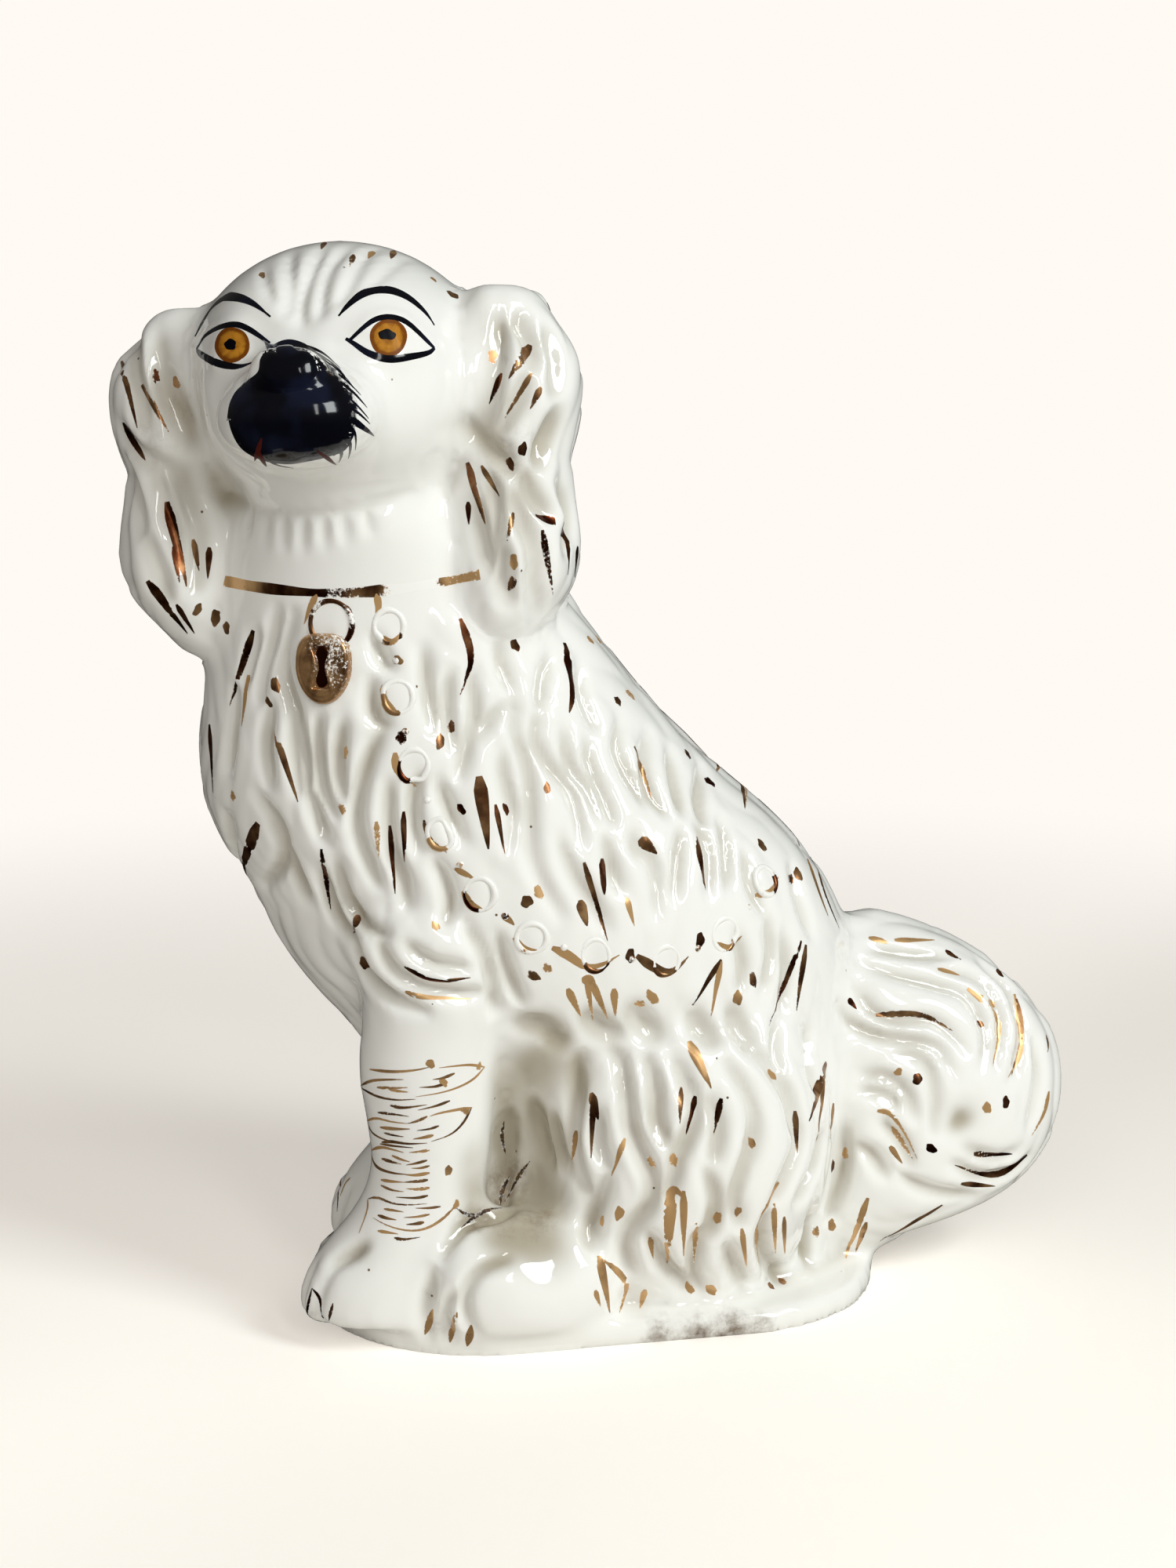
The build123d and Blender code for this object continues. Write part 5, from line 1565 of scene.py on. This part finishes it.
class SPANIEL_OT_paint_eyes(bpy.types.Operator):
    """Paints the irises, the pupils, the outlines of the lids and the brows"""

    bl_idname = "spaniel.paint_eyes"
    bl_label = "Paint Eyes"

    def execute(self, context):
        """Makes the coats of both eyes."""
        paint = context.scene.spaniel_paint
        rng = np.random.default_rng(context.scene.spaniel_ware.seed + 2)
        eyes = (
            ("off", OFF_IRIS, OFF_IRIS_RADIUS, OFF_PUPIL, OFF_PUPIL_RADII,
             OFF_UPPER_LID, OFF_LOWER_LID, OFF_BROW),
            ("near", NEAR_IRIS, NEAR_IRIS_RADIUS, NEAR_PUPIL, NEAR_PUPIL_RADII,
             NEAR_UPPER_LID, NEAR_LOWER_LID, NEAR_BROW),
        )
        for side, iris, radius, pupil, radii, upper, lower, brow in eyes:
            coat = Coat()
            rim = oval_pixels(iris, (radius, radius), 40, rng, 0.012)
            tone = np.repeat(IRIS_TONE[:, None], len(rim), 1)
            coat.fan(pixel_fan(rim, iris, len(IRIS_TONE)), np.zeros(tone.shape), lift=0.8, tone=tone)
            coat.finish(f"{side}_iris_coat", "iris_enamel", "amber_enamel", (f"{side}_iris",))
            coat = Coat()
            rim = oval_pixels(pupil, radii, 32, rng, 0.06)
            coat.fan(pixel_fan(rim, pupil, 5), np.zeros((5, len(rim))), lift=2.4, tone=0.9)
            coat.finish(f"{side}_pupil_coat", "pupil_enamel", "brown_enamel", (f"{side}_pupil",))
            lines = Coat()
            lines.lift *= 1.4
            lines.rub = 0.2
            for outline, swell, other in ((upper, 0.85, NEAR_UPPER_LID), (lower, 1.25, NEAR_LOWER_LID)):
                line = drawn_in(pixel_line(outline, 40), pixel_line(other, 40))
                share = np.linspace(0, 1, len(line))
                widths = paint.liner / MM * (0.55 + 0.6 * swell * np.sin(pi * share) ** 1.2)
                lines.strip(line, widths, np.zeros(len(line)))
            line = drawn_in(pixel_line(brow, 40), pixel_line(NEAR_BROW, 40))
            share = np.linspace(0, 1, len(line))
            widths = paint.brow / MM * np.clip(np.sin(pi * share**0.9), 0.14, 1) ** 0.9
            lines.strip(line, widths, np.zeros(len(line)))
            lines.finish(f"{side}_eye_lines", *BLACK)
        return {"FINISHED"}


def band_round_neck(node, count):
    """Line round the neck through a collar node, between the ears."""
    points, _ = node_triangles(node)
    away = points - np.array(NECK_AXIS)
    back = node == "nape_collar"
    around = np.arctan2(away[:, 0], away[:, 1] if back else -away[:, 1])
    turns = np.linspace(around.min(), around.max(), count)
    heights = np.polyfit(around, points[:, 2], 2)
    line = []
    for turn in turns:
        way = Vector((sin(turn), cos(turn) if back else -cos(turn), 0))
        start = NECK_AXIS + UP * float(np.polyval(heights, turn))
        line.append(np.array(ware["tree"].ray_cast(start, way)[0]))
    return np.array(line)


class SPANIEL_OT_gild_collar(bpy.types.Operator):
    """Gilds the collar line at the throat and at the nape"""

    bl_idname = "spaniel.gild_collar"
    bl_label = "Gild Collar"

    def execute(self, context):
        """Makes the two runs of the collar line."""
        for node in ("throat_collar", "nape_collar"):
            coat = Coat()
            if node == "throat_collar":
                line = pixel_line(THROAT_PIXELS, COLLAR_SAMPLES)
            else:
                line = band_round_neck(node, COLLAR_SAMPLES)
            share = np.linspace(0, 1, len(line))
            widths = COLLAR_HALF_WIDTH + 0.2 * np.sin(13 * share) + 0.12 * np.sin(31 * share + 1)
            wear = np.interp(share, COLLAR_WEAR_PLACES, COLLAR_WEAR)
            tone = np.interp(share, COLLAR_TONE_PLACES, COLLAR_TONE)[:, None]
            coat.strip(line, widths, wear, tone)
            coat.finish(f"{node}_gilt", *GILT, (node,))
        return {"FINISHED"}


def sprig_frame(place):
    """Middle of a sprig on the surface, with its right, upward and outward directions."""
    spot, _ = settle(place)
    near = points_near(spot, 9.0)
    out = unit(ware["normals"][near].mean(0))
    right = unit(np.cross(np.array(UP), out))
    return spot, right, np.cross(out, right), out


def ring_relief(centre, right, up, out, radii, wire, sink, counts, wobble):
    """Points, quads and normals of a ring in relief that follows the surface under it."""
    segments, sides = counts
    turns = round_turns(segments)
    tubes = round_turns(sides)
    points, normals = np.empty((segments, sides, 3)), np.empty((segments, sides, 3))
    for i, turn in enumerate(turns):
        spoke = right * cos(turn) * radii[0] + up * sin(turn) * radii[1]
        spot, _ = settle(centre + spoke)
        spot = spot + out * (np.dot(centre + spoke - spot, out) * 0.5 - sink)
        away = unit(spoke)
        for j, tube in enumerate(tubes):
            normals[i, j] = away * cos(tube) + out * sin(tube)
            points[i, j] = spot + normals[i, j] * wire * (1 + wobble * sin(3 * turn + 2))
    index = np.arange(segments * sides).reshape(segments, sides)
    ahead, over = np.roll(index, -1, 0), np.roll(index, -1, 1)
    quads = np.stack([index, ahead, np.roll(ahead, -1, 1), over], -1).reshape(-1, 4)
    return points.reshape(-1, 3), quads, normals.reshape(-1, 3)


def ring_faces(rows, sides):
    """Quads between rings of points, and all faces: these quads, the last ring and the first one's back."""
    index = np.arange(rows * sides).reshape(rows, sides)
    over = np.roll(index, -1, 1)
    quads = np.stack([index[:-1], over[:-1], over[1:], index[1:]], -1).reshape(-1, 4)
    return quads, [tuple(quad) for quad in quads] + [tuple(index[-1]), tuple(index[0, ::-1])]


def bead_relief(spot, out):
    """Points, faces and normals of a small round bead pressed on the surface."""
    side = unit(np.cross(out, (0.3, 0.2, 1.0)))
    other = np.cross(out, side)
    normals = []
    for lift in np.radians(BEAD_LATITUDES):
        for turn in round_turns(BEAD_SIDES):
            normals.append((side * cos(turn) + other * sin(turn)) * cos(lift) + out * sin(lift))
    normals = np.array(normals)
    return spot + normals * BEAD_RADIUS, ring_faces(len(BEAD_LATITUDES), BEAD_SIDES)[1], normals


def keyhole_half_width(y):
    """Half width of the keyhole at a height: two round ends and a waist."""
    return KEYHOLE_WAIST + KEYHOLE_FLARE * np.clip(np.abs(y - KEYHOLE_MIDDLE) / 4.4, 0, 1) ** 1.6


def keyhole_shape(x, y):
    """How far places lie inside the keyhole, and on the raised border round it, from 0 to 1."""
    half = keyhole_half_width(y)
    ends = np.abs(y - KEYHOLE_MIDDLE)
    inside = step_between(half - np.abs(x), -0.3, 0.4) * step_between(KEYHOLE_REACH - ends, -0.3, 0.5)
    border = np.exp(-(((np.abs(x) - half - 0.8) / 0.5) ** 2))
    return inside, border * step_between(KEYHOLE_REACH + 0.8 - ends, -0.3, 0.6)


class SPANIEL_OT_sprig_padlock(bpy.types.Operator):
    """Presses the padlock with its keyhole and the shackle above it"""

    bl_idname = "spaniel.sprig_padlock"
    bl_label = "Sprig Padlock"

    def execute(self, context):
        """Makes the padlock, the lining of its keyhole and its shackle."""
        self.press_padlock(*sprig_frame(seen(*PADLOCK_PIXEL)))
        spot, right, up, out = sprig_frame(seen(*SHACKLE_PIXEL))
        sizes = (SHACKLE_RADII, SHACKLE_WIRE, SHACKLE_SINK, SHACKLE_POINTS)
        points, quads, normals = ring_relief(spot, right, up, out, *sizes, 0.1)
        segments, sides = SHACKLE_POINTS
        wear = 0.4 + 0.16 * np.sin(np.arange(len(points)) // sides * 2 * pi / segments * 3 + 0.7)
        values = {"wear": wear, "tone": np.full(len(points), 0.2)}
        args = (points, quads.tolist(), normals, *GILT)
        make_piece("shackle_sprig", *args, ("padlock_shackle",), values)
        return {"FINISHED"}

    def press_padlock(self, spot, right, up, out):
        """Makes the padlock from rings that go inwards over its border and its face."""
        turns = round_turns(PADLOCK_SIDES)
        power = np.where(np.sin(turns) > 0, PADLOCK_TOP, PADLOCK_FOOT)
        rim_x = PADLOCK_HALF_WIDTH * np.sign(np.cos(turns)) * np.abs(np.cos(turns)) ** power
        rim_y = PADLOCK_HALF_HEIGHT * np.sign(np.sin(turns)) * np.abs(np.sin(turns)) ** power
        rim_x *= 1 - PADLOCK_TAPER * np.clip(-rim_y / PADLOCK_HALF_HEIGHT, 0, 1)
        face = tuple((share, PADLOCK_RELIEF - 0.32 * share**2) for share in np.linspace(0.78, 0.03, 30))
        rows = PADLOCK_BORDER + face
        points = np.empty((len(rows), len(turns), 3))
        wear = np.empty(points.shape[:2])
        for i, (share, lift) in enumerate(rows):
            x, y = share * rim_x, share * rim_y
            inside, border = keyhole_shape(x, y)
            lifts = lift - (KEYHOLE_DEPTH * inside - 0.25 * border) * (i >= len(PADLOCK_BORDER))
            points[i] = spot + x[:, None] * right + y[:, None] * up + lifts[:, None] * out
            rubbed = np.exp(-(((x - 1.2) / 5.0) ** 2) - ((y - 1.5) / 7.0) ** 2)
            rubbed = 0.24 * rubbed + 0.14 * step_between(y, 3.0, 8.5) + 0.1 * step_between(x, 1.0, 6.0)
            wear[i] = 0.22 + rubbed
        flat = points.reshape(-1, 3)
        quads, faces = ring_faces(*points.shape[:2])
        values = {"wear": wear.ravel(), "tone": np.full(len(flat), 0.5)}
        args = (flat, faces, normals_of(flat, quads), *GILT)
        make_piece("padlock_sprig", *args, ("padlock",), values)
        self.gild_keyhole(spot, right, up, out)

    def gild_keyhole(self, spot, right, up, out):
        """Makes the dark gilt lining of the keyhole."""
        turns = round_turns(LINING_SIDES)
        y = KEYHOLE_MIDDLE + LINING_REACH * np.sin(turns)
        x = np.cos(turns) * keyhole_half_width(y) * 1.05
        points = np.empty((len(LINING_ROWS), len(turns), 3))
        for i, (share, lift) in enumerate(LINING_ROWS):
            at_x, at_y = share * x, KEYHOLE_MIDDLE + share * (y - KEYHOLE_MIDDLE)
            lift = PADLOCK_RELIEF - LINING_DEPTH + lift
            points[i] = spot + at_x[:, None] * right + at_y[:, None] * up + lift * out
        flat = points.reshape(-1, 3)
        quads, faces = ring_faces(*points.shape[:2])
        values = {"wear": np.full(len(flat), 0.05), "tone": np.zeros(len(flat))}
        make_piece("keyhole_gilt", flat, faces, normals_of(flat, quads), *GILT, (), values)


class SPANIEL_OT_sprig_chain(bpy.types.Operator):
    """Presses the round links of the chain and the beads between them"""

    bl_idname = "spaniel.sprig_chain"
    bl_label = "Sprig Chain"

    def execute(self, context):
        """Makes one piece for each link, with the bead that joins it to the next."""
        if len(CHAIN_NODES) != len(LINKS):
            raise RuntimeError("the chain has another count of links than the model")
        spots = [np.array(seen(*pixel)) for pixel, _, _ in LINKS]
        segments, sides = LINK_POINTS
        for number, (name, (_, gilt_turn, gilt_share)) in enumerate(zip(CHAIN_NODES, LINKS)):
            spot, right, up, out = sprig_frame(spots[number])
            # Each link leans and is out of round a little, in its own way
            lean = 0.2 * sin(2.3 * number)
            broad, tall = LINK_RADII
            radii = (broad * (1 + 0.07 * sin(1.7 * number)), tall * (1 - 0.06 * sin(2.9 * number)))
            turned = (right * cos(lean) + up * sin(lean), up * cos(lean) - right * sin(lean))
            sizes = (radii, LINK_WIRE, LINK_SINK, LINK_POINTS)
            points, quads, normals = ring_relief(spot, *turned, out, *sizes, 0.14)
            faces = [tuple(quad) for quad in quads]
            turn = np.arange(len(points)) // sides * 2 * pi / segments
            reach = np.cos(turn - radians(gilt_turn)) - cos(pi * gilt_share)
            wear = 0.7 - 0.55 * step_between(reach, -0.15, 0.25)
            if number + 1 < len(spots):
                middle, normal = settle((spot + spots[number + 1]) / 2)
                bead, bead_faces, bead_normals = bead_relief(middle - BEAD_SINK * normal, normal)
                faces += [tuple(corner + len(points) for corner in face) for face in bead_faces]
                points, normals = np.concatenate([points, bead]), np.concatenate([normals, bead_normals])
                wear = np.concatenate([wear, np.full(len(bead), 0.55 + 0.1 * sin(4.1 * number))])
            values = {"wear": wear, "tone": np.full(len(wear), 0.35 + 0.3 * sin(2.7 * number))}
            make_piece(f"{name}_sprig", points, faces, normals, *GILT, (name,), values)
        return {"FINISHED"}


class SPANIEL_OT_gild_coat(bpy.types.Operator):
    """Gilds the fur with strokes and dots, as photographed in sight and freely out of sight"""

    bl_idname = "spaniel.gild_coat"
    bl_label = "Gild Coat"

    def execute(self, context):
        """Makes a piece of flecks for each part of the coat."""
        paint = context.scene.spaniel_paint
        rng = np.random.default_rng(context.scene.spaniel_ware.seed + 3)
        for name, tan, strokes, broad, dots in GILT_PATCHES:
            coat = Coat()
            gild_strokes(coat, strokes, paint.stroke / MM, rng, tan)
            gild_strokes(coat, broad, BROAD_STROKE * paint.stroke / MM, rng, tan, sound=0.5)
            for pixel in dots:
                gild_dot(coat, np.array(seen(*pixel)), paint.dot / MM * rng.uniform(0.85, 1.2), rng, tan)
            coat.finish(f"gilt_flecks_{name}", *GILT)
        self.gild_unseen(paint, rng)
        return {"FINISHED"}

    def gild_unseen(self, paint, rng):
        """Adds flecks that follow the fur where the photograph doesn't show it."""
        points, normals, flow = ware["points"], ware["normals"], ware["flow"]
        place, _, _, _ = view_axes()
        facing = (unit(np.array(place) - points) * normals).sum(1)
        allowed = (ware["amount"] > 0.6) & (facing < 0.1) & (points[:, 2] > 14)
        spacing = np.full(len(points), paint.fleck_spacing / MM)
        seeds = scatter(points, flow, spacing, spacing, allowed, rng, FLECK_TRIES)
        coat = Coat()
        for seed in seeds:
            spot = points[seed]
            start = Vector(spot) + Vector(normals[seed]) * 2
            if ware["tree"].ray_cast(start, place - Vector(spot))[0] is None:
                continue
            if rng.random() < FLECK_DOTS:
                gild_dot(coat, spot, paint.dot / MM * rng.uniform(0.8, 1.15), rng)
                continue
            line = comb(spot, flow, rng.uniform(*FLECK_LENGTHS) / 9, 10)
            half = paint.stroke / MM * rng.uniform(0.7, 1.5)
            coat.strip(line, teardrop(len(line), half), run_out(gilt_wear(rng), len(line)), gilt_tone(rng))
        coat.finish("gilt_flecks_unseen", *GILT)


class SPANIEL_OT_gild_legs(bpy.types.Operator):
    """Gilds the feathered rings of the foreleg and the claws"""

    bl_idname = "spaniel.gild_legs"
    bl_label = "Gild Legs"

    def execute(self, context):
        """Makes the rings, the claws and the dark lines of the crevice beside the leg."""
        rng = np.random.default_rng(context.scene.spaniel_ware.seed + 4)
        rings = Coat()
        for pixels in FORELEG_RINGS:
            line = pixel_line(pixels, 18)
            wear = np.full(len(line), rng.uniform(0.15, 0.36))
            rings.strip(line, teardrop(len(line), rng.uniform(0.36, 0.54)), wear, rng.uniform(0.35, 0.9))
        for pixel in FORELEG_KNOBS:
            gild_dot(rings, np.array(seen(*pixel)), 1.1, rng, 1.0)
        rings.finish("foreleg_gilt_rings", *GILT)
        claws = Coat()
        claws.lines(CLAW_STROKES, count=10, half=0.55, wear=0.3, tone=0.2)
        claws.lines(BROAD_CLAWS, count=10, half=1.15, wear=0.22, tone=0.7)
        claws.finish("gilt_claws", *GILT)
        crevice = Coat()
        crevice.lines(CREVICE_LINES, count=14, half=0.65, wear=0.33, tone=0.4)
        crevice.finish("crevice_lines", "umber_enamel", "brown_enamel")
        return {"FINISHED"}


def soft_window(name, place, target, width, height, power, colour):
    """Adds an area light that looks at a point."""
    light = bpy.data.lights.new(name, "AREA")
    light.shape = "RECTANGLE"
    light.size, light.size_y = width, height
    light.energy = power
    light.color = colour
    lamp = bpy.data.objects.new(name, light)
    lamp.location = place
    lamp.rotation_euler = (Vector(target) - Vector(place)).to_track_quat("-Z", "Y").to_euler()
    bpy.context.scene.collection.objects.link(lamp)
    return lamp


class SPANIEL_OT_set_stage(bpy.types.Operator):
    """Sets the pale floor, the soft window light and the camera"""

    bl_idname = "spaniel.set_stage"
    bl_label = "Set Stage"

    def execute(self, context):
        """Makes the floor, the lights, the room and the camera."""
        scene = context.scene
        studio, colours = scene.spaniel_studio, scene.spaniel_finish
        scene.view_settings.view_transform = "Standard"
        self.lay_floor(colours)
        middle = (0, 0, 0.15)
        soft_window("window_right", (0.72, -0.86, 0.86), middle, 0.4, 0.62, studio.key, linear("F7FDFC"))
        soft_window("window_narrow", (0.15, -1.1, 0.75), middle, 0.14, 0.6, studio.side, linear("FFFFFB"))
        fills = (
            soft_window("fill_left", (-1.0, -0.5, 0.55), middle, 0.9, 0.9, studio.fill, linear("F4F6FF")),
            soft_window("fill_front", (-0.4, -1.2, 0.75), middle, 0.8, 0.8, studio.front, linear("FFFBF4")),
        )
        for fill in fills:
            fill.visible_glossy = False
        self.light_room(scene, studio, colours)
        self.place_camera(scene)
        return {"FINISHED"}

    def lay_floor(self, colours):
        """Round floor that fades into the backdrop at its rim, and glows for the camera as painted light."""
        turns = round_turns(FLOOR_SIDES)
        ring = np.stack([np.cos(turns), np.sin(turns), np.zeros(FLOOR_SIDES)], 1)
        points = np.concatenate([radius * ring for radius in FLOOR_RADII])
        upper_side = ring_faces(len(FLOOR_RADII), FLOOR_SIDES)[1][:-1]
        mesh = bpy.data.meshes.new("studio_floor")
        mesh.from_pydata(points, [], upper_side)
        finish, add, place = new_finish("matt_paper_floor")
        away = add("VectorMath", {0: place}, "Value", operation="LENGTH")
        fade = add("MapRange", {"Value": away, "From Min": 0.3, "From Max": 0.8}, **SMOOTH)
        paper = add("BsdfDiffuse", {"Color": opaque(colours.backdrop)})
        # Painted light: seen from the camera only, the paper glows in the backdrop's colour, more towards the
        # left and back, away from the window, to lift its shade there
        shown = add("LightPath", output="Is Camera Ray")
        side = add("VectorMath", {0: place, 1: (1, -1, 0)}, "Value", operation="DOT_PRODUCT")
        inputs = {"Value": side, "From Min": -0.12, "From Max": 0.1, "To Min": 0.37, "To Max": 0.22}
        dim = add("MapRange", inputs, **SMOOTH)
        glow = add("Math", {0: shown, 1: dim}, operation="MULTIPLY")
        glow = add("Emission", {"Color": opaque(colours.backdrop), "Strength": glow})
        paper = add("AddShader", {0: paper, 1: glow})
        clear = add("BsdfTransparent")
        mixed = add("MixShader", {0: fade, 1: paper, 2: clear})
        add("OutputMaterial", {"Surface": mixed})
        mesh.materials.append(finish)
        floor = bpy.data.objects.new("studio_floor", mesh)
        floor.visible_glossy = False
        bpy.context.scene.collection.objects.link(floor)

    def light_room(self, scene, studio, colours):
        """Pale ground behind the figure and the dimmer light of the room round it."""
        world = bpy.data.worlds.new("studio_room")
        world.use_nodes = True
        world.node_tree.nodes.clear()
        add = partial(add_node, world.node_tree)
        ground = add("Background", {"Color": opaque(colours.backdrop), "Strength": 1.0})
        walls = opaque(linear("E6E1D8"))
        room = add("Background", {"Color": walls, "Strength": studio.room})
        way = add("TexCoord", output="Generated")
        above = add("SeparateXYZ", {"Vector": way}, "Z")
        low, high = 0.05 * studio.room, 0.4 * studio.room
        inputs = {"Value": above, "From Min": -0.3, "From Max": 0.2, "To Min": low, "To Max": high}
        dim = add("MapRange", inputs)
        dusk = add("Background", {"Color": walls, "Strength": dim})
        shown = add("LightPath", output="Is Camera Ray")
        mirrored = shown.node.outputs["Is Glossy Ray"]
        lit = add("MixShader", {0: mirrored, 1: room, 2: dusk})
        mixed = add("MixShader", {0: shown, 1: lit, 2: ground})
        add("OutputWorld", {"Surface": mixed})
        scene.world = world

    def place_camera(self, scene):
        """Camera at the photograph's angle and distance."""
        place, right, up, back = view_axes()
        lens = bpy.data.cameras.new("studio_camera")
        lens.sensor_width = SENSOR_MM
        lens.lens = LENS_PIXELS / PICTURE_HEIGHT * SENSOR_MM
        lens.clip_start = 0.01
        camera = bpy.data.objects.new("studio_camera", lens)
        turned = Matrix((right, up, back)).transposed().to_4x4()
        camera.matrix_world = Matrix.Translation(place * MM) @ turned
        scene.collection.objects.link(camera)
        scene.camera = camera


class SPANIEL_PT_figure(bpy.types.Panel):
    """Settings and steps of the figure"""

    bl_idname = "SPANIEL_PT_figure"
    bl_label = "Spaniel Figure"
    bl_space_type = "VIEW_3D"
    bl_region_type = "UI"
    bl_category = "Spaniel"

    def draw(self, context):
        """Lists the settings and the steps."""
        scene = context.scene
        for group in (scene.spaniel_ware, scene.spaniel_paint, scene.spaniel_finish, scene.spaniel_studio):
            box = self.layout.box()
            for name in group.bl_rna.properties.keys():
                if name not in ("rna_type", "name"):
                    box.prop(group, name)
        for step in STEPS:
            self.layout.operator(step.bl_idname)


STEPS = (
    SPANIEL_OT_model_ware, SPANIEL_OT_line_seams, SPANIEL_OT_paint_muzzle, SPANIEL_OT_paint_eyes,
    SPANIEL_OT_gild_collar, SPANIEL_OT_sprig_padlock, SPANIEL_OT_sprig_chain, SPANIEL_OT_gild_coat,
    SPANIEL_OT_gild_legs, SPANIEL_OT_set_stage,
)
SETTINGS = {
    "spaniel_ware": WareSettings,
    "spaniel_paint": PaintSettings,
    "spaniel_finish": FinishSettings,
    "spaniel_studio": StudioSettings,
}
CLASSES = tuple(SETTINGS.values()) + STEPS + (SPANIEL_PT_figure,)


def register():
    """Adds the classes and the settings of a scene."""
    for each in CLASSES:
        bpy.utils.register_class(each)
    for name, group in SETTINGS.items():
        setattr(bpy.types.Scene, name, PointerProperty(type=group))


def unregister():
    """Takes the settings and the classes away."""
    for name in SETTINGS:
        delattr(bpy.types.Scene, name)
    for each in reversed(CLASSES):
        bpy.utils.unregister_class(each)


def main():
    """Builds the figure and its stage."""
    register()
    bpy.ops.spaniel.model_ware()
    bpy.ops.spaniel.line_seams()
    bpy.ops.spaniel.paint_muzzle()
    bpy.ops.spaniel.paint_eyes()
    bpy.ops.spaniel.gild_collar()
    bpy.ops.spaniel.sprig_padlock()
    bpy.ops.spaniel.sprig_chain()
    bpy.ops.spaniel.gild_coat()
    bpy.ops.spaniel.gild_legs()
    bpy.ops.spaniel.set_stage()


if __name__ == "__main__":
    main()
